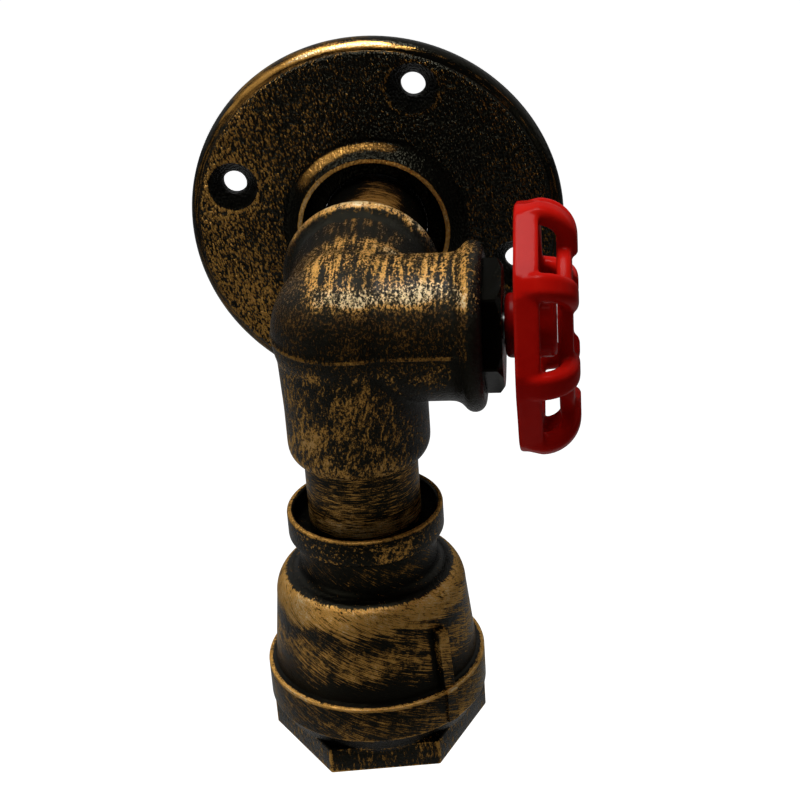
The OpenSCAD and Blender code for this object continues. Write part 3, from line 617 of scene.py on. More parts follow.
def finish_elbow():
    f = Finish("antique_elbow")
    p = f.place(ELBOW)
    x, y, z = f.parts(p)
    spot = f.noise(f.stretched(p, (1.5, 1.1, 0.9)), 1.3, 5, 0.68, 0.4)
    wisp = f.noise(f.stretched(f.wound(p, -0.25, "Y_AXIS"), (1.1, 1.1, 0.4)), 0.9, 5, 0.66, 0.5)
    drip = f.noise(f.stretched(p, (0.9, 0.08, 0.08)), 1.0, 4, 0.65)
    glint = f.noise(p, 2.6, 2)
    patch = f.noise(p, 0.1, 3, 0.6)
    wear = f.mark("wear")

    below = z.rise(-1, -5)
    right = x.rise(-12, -4)
    # painted highlight: the top band, where the overhead light falls, gets more and richer bronze; the belt
    # below it, out of that light, is given duller bronze as painted shade
    top = (z + (patch - 0.5) * 5).rise(9.0, 12.5) * right
    back = y.rise(12, 16)
    shaded_front = z.band(0.5, 10.5, 1.5)
    side = x.rise(18, 24)
    bead = wear.rise(0.12, 0.5) * z.rise(5, 13)
    broken = back * x.rise(3, 13)
    under_bead = y.band(BACK_BEAD - 4.2, BACK_BEAD - 2.7, 0.4) * z.rise(4, 12)
    seam = z.size().rise(0.6, 0.25) * patch.rise(0.3, 0.5) * x.rise(SIDE_BEAD - 3.7, SIDE_BEAD - 4.7)

    fleck = ((spot + (wisp - spot) * below * 0.55) - 0.5) * 1.4 + 0.5
    amount = 0.41 + (patch - 0.5) * 0.35 + top * (1 - back) * 0.07 + back * ((drip - 0.5) * 0.6 - 0.04)
    amount += top * (drip - 0.5) * (0.7 + z.rise(13.5, 15.5) * 0.5) + (1 - right) * 0.01 + shaded_front * 0.03
    amount += (below + z.rise(-16, -24)) * 0.05 - z.rise(-3, -9) * x.rise(9, 15) * 0.12
    amount += bead * (0.5 + (spot - 0.5) * 1.3 - side * 0.26 - broken * 0.28) + seam * 0.22
    amount -= (wear.rise(-0.1, -0.45) + under_bead + x.rise(22, 26) * z.rise(4, -6)) * 0.3
    amount -= x.rise(SIDE_BEAD - 1.0, SIDE_BEAD + 0.4) * 0.4
    shine = 0.3 + top * (0.65 + z.band(10.5, 14.6, 1.2) * 0.5) - shaded_front * 0.3 + (patch - 0.5) * 0.6
    shine += below * 0.55 + z.rise(-14, -24) * 0.25 - back * 0.8
    shine += bead * (0.5 + back * 0.4 - side * 0.95) + seam * 0.1
    # painted sheen: a coat laid only on the top band and the back bead's crest, where the lamp's highlight
    # falls
    sheen_coat = z.band(9.5, 15.0, 2.5) * spot.rise(0.35, 0.6) * 0.2 + bead * back * 0.3
    relief = f.bump(glint, 0.16, f.bump(spot, 0.42, f.bump(patch, 0.3)))
    return brushed(f, amount, fleck, relief, shine, sheen_coat=sheen_coat)


def finish_pipe(name, stretch, light_on, warm):
    """Bronze in fine lines along the stretch, with more of it where the light is on the pipe."""
    f = Finish(name)
    p = f.place()
    light = light_on(*f.parts(p))
    lines = f.noise(f.stretched(p, stretch), 1.0, 5, 0.66, 0.2)
    patch = f.noise(p, 0.14, 3, 0.6)
    fleck = (lines - 0.5) * 1.2 + 0.5
    amount = 0.43 + (patch - 0.5) * 0.3 + light * 0.2
    shine = 0.4 + (1 - warm) * 0.6 + (patch - 0.5) * 0.5 + light * 0.3
    return brushed(f, amount, fleck, f.bump(lines, 0.08), shine, warm)


def finish_cup():
    f = Finish("antique_cup")
    p = f.place((0, -ARM, CUP_RIM))
    x, y, z = f.parts(p)
    r = (x * x + y * y) ** 0.5
    flat = f.node("VectorMath", {"operation": "NORMALIZE"}, {0: f.stretched(p, (1, 1, 0))})
    radial = f.noise(flat, 34.0, 4, 0.65)
    blot = f.noise(p, 0.42, 4, 0.65, 0.6)
    hair = f.noise(f.stretched(f.wound(p, z / 13.0), (2.6, 2.6, 0.22)), 1.0, 4, 0.6, 0.3)
    brush = f.noise(f.stretched(f.wound(p, z / 8.5), (1.2, 1.2, 0.12)), 1.0, 4, 0.6, 0.4)
    upright = f.noise(f.stretched(p, (1.4, 1.4, 0.5)), 1.0, 5, 0.65, 0.4)
    spot = f.noise(p, 1.2, 5, 0.66, 0.3)
    patch = f.noise(p, 0.11, 3, 0.6)
    strokes = (hair - 0.5) * 1.1 + (brush - 0.5) * 0.8 + 0.5

    over_hex, over_end = z + CUP_H - HEX_H, z + CUP_H
    over_low, over_top, from_band = z + BAND_LOW, z + BAND_TOP, r - BAND_R
    on_bell = z.band(-BAND_LOW - 0.2, -8.0, 0.4)
    on_hex = over_hex.rise(1.8, 0.3)
    level = z + (brush - 0.5) * 9 + (patch - 0.5) * 5
    out_of_neck = (r + (radial - 0.5) * 2.6).rise(20.0, 20.7)
    shoulder = level.rise(-26.0, -21.0) * out_of_neck
    middle = level.band(-34.5, -26.5, 2.0)
    valley = z.band(-18.5, -13.5, 0.8) * (1 - out_of_neck)
    above_band = (over_top + (brush - 0.5) * 3).band(-0.2, 3.6, 1.2) * (1 - from_band.rise(-1.2, -0.6))
    on_band = z.band(-BAND_LOW, -BAND_TOP + 0.1, 0.2) * from_band.rise(-0.6, -0.2)
    line = over_top.band(-0.7, 0.1, 0.2) * from_band.rise(-1.4, -0.8) * 0.35
    line += over_low.band(-0.2, 0.5, 0.25) * from_band.rise(-0.8, -0.4) * 0.12
    rim = z.rise(-0.7, -0.25) * r.rise(LIP_RECESS_R + 0.3, LIP_RECESS_R + 0.6) * 0.32
    on_lip = z.band(-LIP_H + 0.4, -0.8, 0.4) * r.rise(LIP_R - 0.7, LIP_R - 0.3)
    lip_patch = on_lip * (0.03 + z.rise(-0.8, -2.4) * x.rise(2, 6) * x.rise(14, 11) * y.rise(-4, -10) * 0.14)
    # painted shadow: less bronze on the hexagon's top faces under the band's overhang
    painted_shadow_slit = z.band(HEX_H - CUP_H - 0.3, -BAND_LOW - 0.1, 0.15) * (1 - from_band.rise(-0.7, -0.3))
    inside = (1 - r.rise(BELL_BORE_R + 0.1, BELL_BORE_R + 0.5)) * z.rise(-17, -19)
    inside += (1 - r.rise(LIP_RECESS_R - 0.1, LIP_RECESS_R + 0.2)) * z.rise(-6, -0.6)

    turn, half = radians(RIB_TURN), RIB_W / 2
    out = x * sin(turn) - y * cos(turn)
    across = (x * cos(turn) + y * sin(turn)) * out.sign()
    rib = across.size().rise(half + 0.15, half - 0.15) * z.band(-BAND_TOP - 0.3, -RIB_TOP + 0.1, 0.2)
    rib *= r.rise(BELL_TOP_R + 0.7, BELL_TOP_R + 1.3)
    shade = across.band(-half - 1.4, -half - 0.1, 0.5) * z.band(-BAND_TOP + 0.1, -RIB_TOP, 1.0)
    from_corner = (y.angle(x) - radians(HEX_TURN)).fold(radians(30)) * r
    hex_edge = from_corner.rise(0.8, 0.25) * z.band(-CUP_H + 0.4, HEX_H - CUP_H - 0.6, 0.15)
    hex_edge += (over_hex.rise(-0.7, -0.2) + over_end.rise(0.8, 0.3)) * r.rise(HEX_R - 4.0, HEX_R - 3.6)
    hex_edge *= on_hex

    fleck = strokes * on_bell + ((spot - 0.5) * 1.2 + 0.5) * (1 - on_bell) * (1 - on_hex)
    fleck += ((upright - 0.5) * 1.3 + 0.5) * on_hex
    amount = 0.36 + (patch - 0.5) * 0.25 + on_bell * (blot - 0.5) * 0.7 + shoulder * 0.3 + middle * 0.15
    amount += on_hex * 0.05 + on_band * (0.06 + across.rise(-4, 4) * out.rise(-2, 6) * 0.1)
    amount += rim + line + lip_patch + rib * 0.14 + hex_edge * 0.2
    amount -= valley * 0.12 + above_band * 0.25 + shade * 0.4 + painted_shadow_slit * 0.3 + inside * 0.7
    shine = 0.45 + (patch - 0.5) * 0.8 + shoulder * 0.42 + middle * 0.35 + on_hex * 0.05
    shine += rim * 0.3 + line + on_lip * 0.35 + rib * 0.15 + hex_edge * 0.25
    relief = f.bump(spot, 0.14, f.bump(strokes, 0.08))
    return brushed(f, amount, fleck, relief, shine)


def finish_plug():
    f = Finish("satin_black")
    p = f.place()
    grain = f.noise(p, 1.6, 4)
    patch = f.noise(p, 0.15, 3)
    at_front = f.parts(p)[0].rise(PLUG_FRONT - 1.8, PLUG_FRONT - 0.4)
    amount = 0.1 + patch * 0.2 + at_front * 0.12
    return brushed(f, amount, grain, f.bump(grain, 0.05), 0.15 + patch * 0.2, gloss=0.04)


def finish_enamel():
    f = Finish("red_enamel")
    p = f.place()
    pool = f.noise(p, 0.12, 3)
    orange_peel = f.noise(p, 0.9, 2)
    speck = f.noise(p, 2.5, 2).rise(0.7, 0.78)
    # painted shade: the enamel at the hub's back is darkened to deep red, standing in for the shade inside
    # the wheel; the dark specks are the enamel's own
    painted_shade_at_back = f.parts(p)[0].rise(WHEEL_BACK, WHEEL_BACK - 1.0)
    colour = f.mix(pool.rise(0.35, 0.7), rgb(0.45, 0.005, 0.0025), rgb(0.51, 0.008, 0.004))
    return f.surface(
        base_color=f.mix((speck * 0.4).most(painted_shade_at_back * 0.8), colour, rgb(0.14, 0.002, 0.002)),
        roughness=0.22 + pool * 0.06,
        normal=f.bump(orange_peel, 0.03),
        specular_ior_level=0.026,
        coat_weight=0.012,
        coat_roughness=0.12,
    )


def finish_plain(name, light, dark, metallic, roughness, stretch, relief):
    """A plain stuff with a grain, a change of tone from place to place, and a little wear."""
    f = Finish(name)
    p = f.place()
    grain = f.noise(f.stretched(p, stretch), 1.0, 4, 0.6)
    patch = f.noise(p, 0.25, 3)
    return f.surface(
        base_color=f.mix((patch + (grain - 0.5) * 0.6).rise(0.3, 0.72), rgb(*dark), rgb(*light)),
        metallic=metallic,
        roughness=roughness + (patch - 0.5) * 0.2 + (grain - 0.5) * 0.1,
        normal=f.bump(grain, relief),
        specular_ior_level=0.4,
    )


def finish_small_pieces():
    """The finishes of the small pieces, by what finish_plain takes."""
    broad, even, close = (0.7, 0.7, 0.7), (1.5, 1.5, 1.5), (3.0, 3.0, 3.0)
    stuffs = {
        "steel": ("turned_steel", (0.30, 0.30, 0.29), (0.17, 0.17, 0.165), 1.0, 0.36, (0.6, 3.5, 3.5), 0.02),
        "brass": ("plain_brass", (0.72, 0.50, 0.19), (0.50, 0.32, 0.11), 1.0, 0.32, (2.0, 2.0, 5.0), 0.02),
        "bakelite": ("moulded_bakelite", (0.022, 0.019, 0.016), (0.011, 0.009, 0.008), 0.0, 0.38, even, 0.03),
        "board": ("laminated_board", (0.38, 0.21, 0.09), (0.24, 0.12, 0.05), 0.0, 0.6, (6.0, 0.5, 0.5), 0.04),
        "cream": ("cream_plastic", (0.80, 0.76, 0.65), (0.72, 0.67, 0.55), 0.0, 0.45, (1.2, 1.2, 1.2), 0.02),
        "porcelain": ("unglazed_porcelain", (0.84, 0.82, 0.76), (0.74, 0.71, 0.64), 0.0, 0.62, close, 0.04),
        "brown": ("brown_insulation", (0.19, 0.075, 0.03), (0.12, 0.045, 0.018), 0.0, 0.42, even, 0.02),
        "blue": ("blue_insulation", (0.06, 0.17, 0.50), (0.04, 0.11, 0.36), 0.0, 0.42, even, 0.02),
        "earth": ("earth_insulation", (0.50, 0.55, 0.05), (0.10, 0.30, 0.04), 0.0, 0.42, broad, 0.02),
    }
    return {key: finish_plain(*stuff) for key, stuff in stuffs.items()}


# Pieces

def dress(piece, sharp, finish, body, slot, *nodes):
    """Shades a piece smooth up to its sharp edges, gives it its finish and hangs it on its body."""
    pick(piece)
    bpy.ops.object.shade_smooth_by_angle(angle=radians(sharp))
    piece.data.materials.clear()
    piece.data.materials.append(finish)
    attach(piece, body)
    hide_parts(*nodes)


def hole_centres():
    """Where the flange's screw holes are, across and up."""
    angles = [radians(HOLE_TURN + 360 * k / HOLE_COUNT) for k in range(HOLE_COUNT)]
    return [(HOLE_CIRCLE_R * sin(a), HOLE_CIRCLE_R * cos(a)) for a in angles]


def make_flange():
    mouth, seat = 0.6, COLLAR_TOP - RECESS_DEPTH
    outline = [(SOCKET_R + mouth, 0.0)] + corner(FLANGE_R, 0.0, 0.7, -90, 0, 3)
    outline += corner(FLANGE_R, PLATE_T, PLATE_ROUND, 0, 90, 12)
    outline += [(COLLAR_BASE_R + out, PLATE_T + up) for out, up in ((1.7, 0.0), (0.5, 0.25), (-0.2, 0.9))]
    outline += arc((COLLAR_RIM_R - 0.55, COLLAR_TOP - 0.6), 0.6, 20, 90, 4)
    outline += corner(RECESS_R, COLLAR_TOP, 0.4, 90, 180) + corner(RECESS_R, seat, 1.2, 0, -90, 5)
    outline += [(SOCKET_R + 0.5, seat), (SOCKET_R, seat - 0.5), (SOCKET_R, mouth)]
    flange = turned("cast_flange", OFF_WALL, outline, 192, ring=True)
    sink_low, sink_edge = PLATE_T - (SINK_R - HOLE_R), SINK_R + 0.6
    tool = [(0, -PAST), (HOLE_R, -PAST), (HOLE_R, sink_low - 0.2), (HOLE_R + 0.3, sink_low + 0.25)]
    tool += [(SINK_R - 0.3, PLATE_T - 0.4), (SINK_R + 0.05, PLATE_T - 0.08), (sink_edge, PLATE_T + 0.15)]
    tool += [(sink_edge, PLATE_T + 2 * PAST), (0, PLATE_T + 2 * PAST)]
    for x, z in hole_centres():
        cut(flange, turned("countersink", OFF_WALL.through((x, 0, z)), tool, 64))
    dress(flange, 32, finish_flange(), "wall", "antique_iron", "wall_flange")


def outlet(name, line, bead):
    """An outlet's tube with a bead that runs into it in a hollow."""
    start = bead - BEAD_ROUND
    hollow = (0.0, -2.8), (0.12, -1.6), (0.5, -0.6), (1.05, 0.05)
    outline = [(0, 0), (TUBE_R, 0)] + [(TUBE_R + out, start + along) for out, along in hollow]
    outline += arc((BEAD_R - BEAD_ROUND, bead), BEAD_ROUND, -50, 90, 10) + [(0, bead + BEAD_ROUND)]
    return turned(name, line, outline)


def passage(line, face):
    """The passage of an outlet, with room for the pipe's thread."""
    seat, end = face - THREAD_LEN, face + PAST
    outline = [(0, 0), (PASSAGE_R, 0), (PASSAGE_R, seat), (SOCKET_R, seat), (SOCKET_R, end), (0, end)]
    return turned("passage", line, outline)


def raise_seam(elbow):
    """Raises the mould's parting line round the outside of the elbow."""
    foot, ridge, height = 0.6, 0.25, 0.3
    with editing(elbow):
        for level in (-foot, -ridge, ridge, foot):
            select_points()
            bpy.ops.mesh.bisect(plane_co=(0, 0, level * MM), plane_no=(0, 0, 1))
    x, y, z = rows(elbow.data, "co").T / MM
    y = y + ARM
    bore = SOCKET_R + 0.8
    in_bores = ((np.abs(y) < bore) & (x > 0)) | ((np.abs(x) < bore) & (y > 0))
    outside = (np.hypot(x, y) > HOLLOW_R + 1) & ~in_bores
    before_beads = (x < SIDE_BEAD - BEAD_ROUND) & (y < BACK_BEAD - BEAD_ROUND)
    with editing(elbow, outside & before_beads & (np.abs(z) < ridge + 0.05)):
        bpy.ops.transform.shrink_fatten(value=height * MM)


def make_elbow():
    drop = [(0, 0), (TUBE_R + DROP_FLARE, 0), (TUBE_R, BODY_R)]
    drop += arc((TUBE_R - DROP_ROUND, DROP_LEN - DROP_ROUND_H), (DROP_ROUND, DROP_ROUND_H), 0, 90, 8)
    drop += [(0, DROP_LEN)]
    elbow = ball("cast_elbow", ELBOW, BODY_R)
    shaped_by(
        elbow, "UNION", outlet("back", TO_WALL, BACK_BEAD), outlet("side", SWITCH, SIDE_BEAD),
        turned("drop", DOWNWARDS, drop),
    )
    cut(elbow, ball("hollow", ELBOW, HOLLOW_R))
    faces = (TO_WALL, BACK_BEAD + BEAD_ROUND), (SWITCH, SIDE_BEAD + BEAD_ROUND), (DOWNWARDS, DROP_LEN)
    for line, face in faces:
        cut(elbow, passage(line, face))
    cast(elbow, 0.5, 4)
    raise_seam(elbow)
    note_wear(elbow, 24, 0.5)
    dress(elbow, 180, finish_elbow(), "arm", "antique_iron", "outlet_elbow")


def make_pipe(name, line, ends, finish, node):
    outline = chamfered_outline(PIPE_BORE_R, PIPE_R, *ends, 0.8)
    dress(turned(name, line, outline, 160, ring=True), 30, finish, "arm", "bronzed_pipe", node)


def make_pipes():
    def light_on_wall_pipe(x, y, z):
        return x.rise(-6, 2) * x.rise(11, 7) * z.rise(8, 12) - y.rise(-27, -11)

    def light_on_drop_pipe(_x, _y, z):
        return z.band(-47.5, -43.5, 1.0) * 0.5 - z.rise(-47.0, -49.5)

    rusty = finish_pipe("wall_pipe_bronze", (0.2, 3.6, 0.2), light_on_wall_pipe, 0.6)
    make_pipe("wall_pipe", OFF_WALL, WALL_PIPE_ENDS, rusty, "wall_nipple")
    bright = finish_pipe("drop_pipe_bronze", (0.28, 0.28, 4.2), light_on_drop_pipe, 0.0)
    make_pipe("drop_pipe", UPRIGHT, DROP_PIPE_ENDS, bright, "drop_nipple")


def make_ribs():
    """The two ribs down the bell, which run on faintly over the band."""
    slope = (BELL_LOW_R - BELL_TOP_R) / (BAND_TOP - DOME_LOW)
    fall = slope * (BAND_TOP - RIB_TOP)
    half, root = RIB_W / 2, -ARM - BELL_BORE_R - 1
    top, low, foot = CUP_RIM - RIB_TOP, CUP_RIM - BAND_TOP, CUP_RIM - BAND_LOW + 0.5
    rib = block("rib", (-half, -ARM - BELL_LOW_R - RIB_PROUD, low - 1), (half, root, top))
    places = [point.co / MM for point in rib.data.vertices]
    with editing(rib, [place.y < root - 1 and place.z > top - 1 for place in places]):
        bpy.ops.transform.translate(value=(0, fall * MM, 0))
    on_band = block("rib_on_band", (-half, -ARM - BAND_R - RIB_ON_BAND, foot), (half, root, low))
    return [spun_copies(piece, CUP, 2, RIB_TURN) for piece in (rib, on_band)]


def make_cup():
    hex_middle, foot = -CUP_H + HEX_H / 2, HEX_R * cos(radians(30)) - 1
    shoulder_r = NECK_R + NECK_FILLET
    outline = [(0, 0)] + corner(LIP_R, 0, 0.6, 90, 0) + corner(LIP_R, -LIP_H, 1.0, 0, -90, 5)
    outline += [(NECK_R + out, -LIP_H - down) for out, down in ((0.35, 0.0), (0.05, 0.15), (0.0, 0.45))]
    outline += arc((shoulder_r, -SHOULDER + NECK_FILLET), NECK_FILLET, 180, 270, 8)
    outline += arc((shoulder_r, -DOME_LOW), (BELL_TOP_R - shoulder_r, DOME_H), 90, 0, 14)[1:]
    outline += [(BELL_LOW_R - 0.05, -BAND_TOP + 0.5), (BELL_LOW_R + 0.4, -BAND_TOP)]
    outline += corner(BAND_R, -BAND_TOP, 0.4, 90, 0, 3) + corner(BAND_R, -BAND_LOW, 0.5, 0, -50, 3)
    outline += [(foot, hex_middle), (0, hex_middle)]
    cup = turned("cast_cup", CUP, outline, 192)
    hexagon = eased(cylinder("hexagon", CUP, HEX_R, -CUP_H, -CUP_H + HEX_H, 6, HEX_TURN + 30), 0.4)
    shaped_by(cup, "UNION", hexagon, *make_ribs())
    mouth, end = BELL_BORE_R + 0.6, -CUP_H - PAST
    hollow = [(0, -WEB_LOW)] + corner(BELL_BORE_R, -WEB_LOW, BELL_ROUND, 90, 0, 8)
    hollow += [(BELL_BORE_R, -CUP_H + 0.5), (mouth, -CUP_H - 0.1), (mouth, end), (0, end)]
    mouth, end = LIP_RECESS_R + 0.4, -WEB_LOW - PAST
    throat = [(0, PAST), (mouth, PAST), (mouth, 0.1), (LIP_RECESS_R, -0.4), (LIP_RECESS_R, -LIP_RECESS)]
    throat += [(SOCKET_R, -LIP_RECESS), (SOCKET_R, -WEB_TOP)]
    throat += [(TUBE_HOLE_R, -WEB_TOP), (TUBE_HOLE_R, end), (0, end)]
    cut(cup, turned("hollow", CUP, hollow), turned("throat", CUP, throat))
    dress(cup, 30, finish_cup(), "arm", "antique_iron", "lamp_cup")


def make_plug():
    corner_r = PLUG_FLATS / 2 / cos(radians(30))
    plug = cylinder("hex_plug_head", SWITCH, corner_r, PORT_FACE + CLEAR, PLUG_FRONT, 6, PLUG_TURN)
    side, face = corner_r - 0.2, corner_r - 1.9
    back, end = PORT_FACE - PAST, PLUG_FRONT + PAST
    chamfer = [(0, back), (side, back), (side, PLUG_FRONT - 1.2), (face, PLUG_FRONT), (face, end), (0, end)]
    shaped_by(plug, "INTERSECT", turned("chamfer", SWITCH, chamfer))
    ease, inside = 0.8, PORT_FACE + PAST
    shank = [(0, SHANK_START), (PIPE_R - ease, SHANK_START), (PIPE_R, SHANK_START + ease)]
    shank += [(PIPE_R, inside), (0, inside)]
    shaped_by(plug, "UNION", turned("shank", SWITCH, shank))
    room, neck = CASE_R + CASE_ROOM, CASE_NECK_R + CLEAR
    bore = [(0, ROOM_START), (room, ROOM_START), (room, CASE_FRONT)]
    bore += [(neck, CASE_FRONT), (neck, end), (0, end)]
    cut(plug, turned("switch_room", SWITCH, bore))
    dress(eased(plug, 0.3), 35, finish_plug(), "arm", "black_plug", "hex_plug")


def make_bar():
    """A bar of the handwheel: a rounded strip that crosses the band, bends over and ends on the ring."""
    foot, bend = WHEEL_BACK + 0.3, WHEEL_FRONT - BAR_ROUND
    start = SWITCH.at(WHEEL_R - BAR_T / 2 - BAR_SINK, foot)
    pick()
    bpy.ops.mesh.primitive_plane_add(size=MM, location=start, rotation=(0, pi / 2, 0))
    bpy.context.object.scale = (BAR_T, BAR_W, 1)
    bar = named("bar")
    with editing(bar):
        bpy.ops.mesh.bevel(offset=BAR_EDGE * MM, segments=5, affect="VERTICES")
        select_points()
        extrude(((bend - foot) * MM, 0, BAR_SINK * MM))
        centre = SWITCH.at(WHEEL_R - BAR_ROUND, bend)
        bpy.ops.mesh.spin(steps=16, angle=radians(90), center=centre, axis=(0, -1, 0))
        extrude((0, 0, (BAR_END - WHEEL_R + BAR_ROUND) * MM))
        closed()
    return bar


def make_handwheel():
    face = WHEEL_R - BAR_PROUD
    inner = face - WHEEL_WALL
    ease = 0.8
    band = ring_outline(inner, face, WHEEL_BACK, WHEEL_MID, ease)
    wheel = turned("red_handwheel", SWITCH, band, 160, ring=True)
    flats = cylinder("flats", SWITCH, WHEEL_R, WHEEL_BACK - PAST, WHEEL_MID + PAST, BAR_COUNT, -BAR_TURN)
    shaped_by(wheel, "INTERSECT", flats)
    ring = ring_outline(RING_R - RING_W, RING_R, RING_FRONT - RING_T, RING_FRONT, 1.0)
    well = WHEEL_MID + HUB_WELL
    hub = [(0, HUB_START), (HUB_R - ease, HUB_START), (HUB_R, HUB_START + ease), (HUB_R, well - ease)]
    hub += [(HUB_R - ease, well), (WELL_R, well), (WELL_R, WHEEL_MID), (0, WHEEL_MID)]
    middle, half_t, half_w = (WHEEL_BACK + WHEEL_MID) / 2, SPOKE_T / 2, SPOKE_W / 2
    low = middle - half_t, -ARM - half_w, SPOKE_START
    spoke = block("spoke", low, (middle + half_t, -ARM + half_w, inner + SPOKE_SINK))
    shaped_by(
        wheel, "UNION", turned("ring", SWITCH, ring, 160, ring=True), turned("hub", SWITCH, hub),
        spun_copies(spoke, SWITCH, SPOKE_COUNT, -BAR_TURN),
        spun_copies(make_bar(), SWITCH, BAR_COUNT, -BAR_TURN),
    )
    cast(wheel, 0.4, 9)
    cut(wheel, cylinder("bore", SWITCH, SPINDLE_R, HUB_START - PAST, WHEEL_MID + PAST, 64))
    dress(wheel, 180, finish_enamel(), "wheel", "red_enamel", "handwheel")


def make_wheel_fixings(steel):
    """The washer and the slotted screw that hold the handwheel on its spindle."""
    seat = WHEEL_MID + WASHER_T
    outline = chamfered_outline(SCREW_SHANK + CLEAR, WASHER_R, WHEEL_MID, seat, 0.2)
    washer = turned("turned_washer", SWITCH, outline, 64, ring=True)
    dress(washer, 30, steel, "wheel", "bright_steel", "wheel_washer")
    tip, top, half = WHEEL_MID - SCREW_LEN, seat + SCREW_HEAD, SCREW_SLOT / 2
    dome_r, dome_h = 1.1, 1.4
    outline = [(0, tip), (SCREW_SHANK - 0.3, tip), (SCREW_SHANK, tip + 0.4), (SCREW_SHANK, seat)]
    outline += [(SCREW_R - 0.1, seat)]
    outline += arc((SCREW_R - dome_r, top - dome_h), (dome_r, dome_h), -10, 90, 6) + [(0, top)]
    screw = turned("slotted_screw", SWITCH, outline, 64)
    slot = block("slot", (top - 1, -ARM - half, -SCREW_R - PAST), (top + PAST, -ARM + half, SCREW_R + PAST))
    dress(cut(screw, slot), 30, steel, "wheel", "bright_steel", "wheel_screw")


def make_skirt(bakelite):
    outline = [(SKIRT_BORE_R, SKIRT_TOP), (HOLDER_R, SKIRT_TOP)] + corner(HOLDER_R, SKIRT_LOW, 1.0, 0, -90, 5)
    outline += corner(SKIRT_BORE_R, SKIRT_LOW, 0.7, -90, -180)
    skirt = turned("moulded_skirt", UPRIGHT, outline, ring=True)
    dress(skirt, 40, bakelite, "arm", "bakelite", "holder_skirt")


def make_contact_block(porcelain):
    bore, top = STEM_R + CLEAR, BLOCK_LOW + POCKET
    outline = [(bore, BLOCK_TOP), (BLOCK_R - 0.4, BLOCK_TOP), (BLOCK_R, BLOCK_TOP - 0.4)]
    outline += [(BLOCK_R, SKIRT_TOP), (BLOCK_NECK_R, SKIRT_TOP)]
    outline += [(BLOCK_NECK_R, BLOCK_LOW + 0.5), (BLOCK_NECK_R - 0.5, BLOCK_LOW)]
    outline += [(POCKET_R + 0.3, BLOCK_LOW), (POCKET_R, BLOCK_LOW + 0.3), (POCKET_R, top), (bore, top)]
    body = turned("contact_block", UPRIGHT, outline, 96, ring=True)
    dress(body, 30, porcelain, "arm", "porcelain", "holder_block")


def make_centre_contact(brass):
    low, clip_top = HEAD_TOP - HEAD_T, CLIP_LOW + CLIP_T
    outline = [(0, low)] + corner(HEAD_R, low, 0.9, -90, 0, 6)
    outline += [(HEAD_R, HEAD_TOP - 0.2), (HEAD_R - 0.2, HEAD_TOP), (STEM_R, HEAD_TOP), (STEM_R, CLIP_LOW)]
    outline += [(CLIP_R, CLIP_LOW), (CLIP_R, clip_top), (STEM_R - 0.3, clip_top), (0, clip_top)]
    contact = turned("contact_button", UPRIGHT, outline, 64)
    dress(contact, 30, brass, "contact", "brass", "centre_contact")


def make_spring(steel):
    """The centre contact's spring, which shortens as the contact is pressed."""
    turn = 32
    steps = SPRING_TURNS * turn
    coil = []
    for k in range(steps + 1):
        angle = 2 * pi * k / turn
        height = SPRING_TOP + (SPRING_LOW - SPRING_TOP) * k / steps
        coil.append((SPRING_R * cos(angle), SPRING_R * sin(angle) - ARM, height))
    spring = tube_along("wound_spring", coil, SPRING_WIRE, 2)
    dress(spring, 60, steel, "arm", "bright_steel", "contact_spring")
    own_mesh(spring)


def make_shell(brass):
    """The screw socket: a thin shell rolled into a round thread."""
    steps, around, half = 16, 72, THREAD_DEPTH / 2
    outline = []
    for k in range(steps + 1):
        wave = THREAD_R - half + half * cos(2 * pi * k / steps)
        outline.append(Vector((wave, 0, SHELL_LOW - THREAD_PITCH + THREAD_PITCH * k / steps)) * MM)
    shell = drawn("rolled_shell", outline)
    modified(
        shell, "SCREW", screw_offset=THREAD_PITCH * MM, iterations=THREAD_TURNS,
        steps=around, render_steps=around,
    )
    with editing(shell):
        closed()
        bpy.ops.mesh.bisect(plane_co=(0, 0, SHELL_TOP * MM), plane_no=(0, 0, 1), clear_outer=True)
        select_points()
        bpy.ops.mesh.bisect(plane_co=(0, 0, SHELL_LOW * MM), plane_no=(0, 0, 1), clear_inner=True)
        select_points()
        bpy.ops.transform.translate(value=(0, -ARM * MM, 0))
    modified(shell, "SOLIDIFY", thickness=SHELL_WALL * MM, offset=1)
    dress(shell, 50, brass, "arm", "brass", "screw_shell")


def tube_along(name, points, radius, rounds=4):
    """A smooth tube along points."""
    pick()
    bpy.ops.curve.primitive_nurbs_path_add(radius=MM)
    line = bpy.context.object.data
    line.splines.clear()
    run = line.splines.new("POLY")
    run.points.add(len(points) - 1)
    for spot, point in zip(run.points, points):
        spot.co = (*(Vector(point) * MM), 1)
    line.dimensions, line.use_fill_caps = "3D", True
    line.bevel_depth, line.bevel_resolution = radius * MM, rounds
    bpy.ops.object.convert(target="MESH")
    piece = named(name)
    with editing(piece):
        closed()
    return piece


def smooth_route(points, steps=6):
    """More points along a route, on a smooth curve through the given ones."""
    p = [Vector(point) for point in points]
    last = len(p) - 1
    route = []
    for i in range(last):
        a, b, c, d = p[max(i - 1, 0)], p[i], p[i + 1], p[min(i + 2, last)]
        for k in range(steps):
            t = k / steps
            bend, sway = 2 * a - 5 * b + 4 * c - d, 3 * b - a - 3 * c + d
            route.append(0.5 * (2 * b + (c - a) * t + bend * t * t + sway * t ** 3))
    return route + [p[last]]


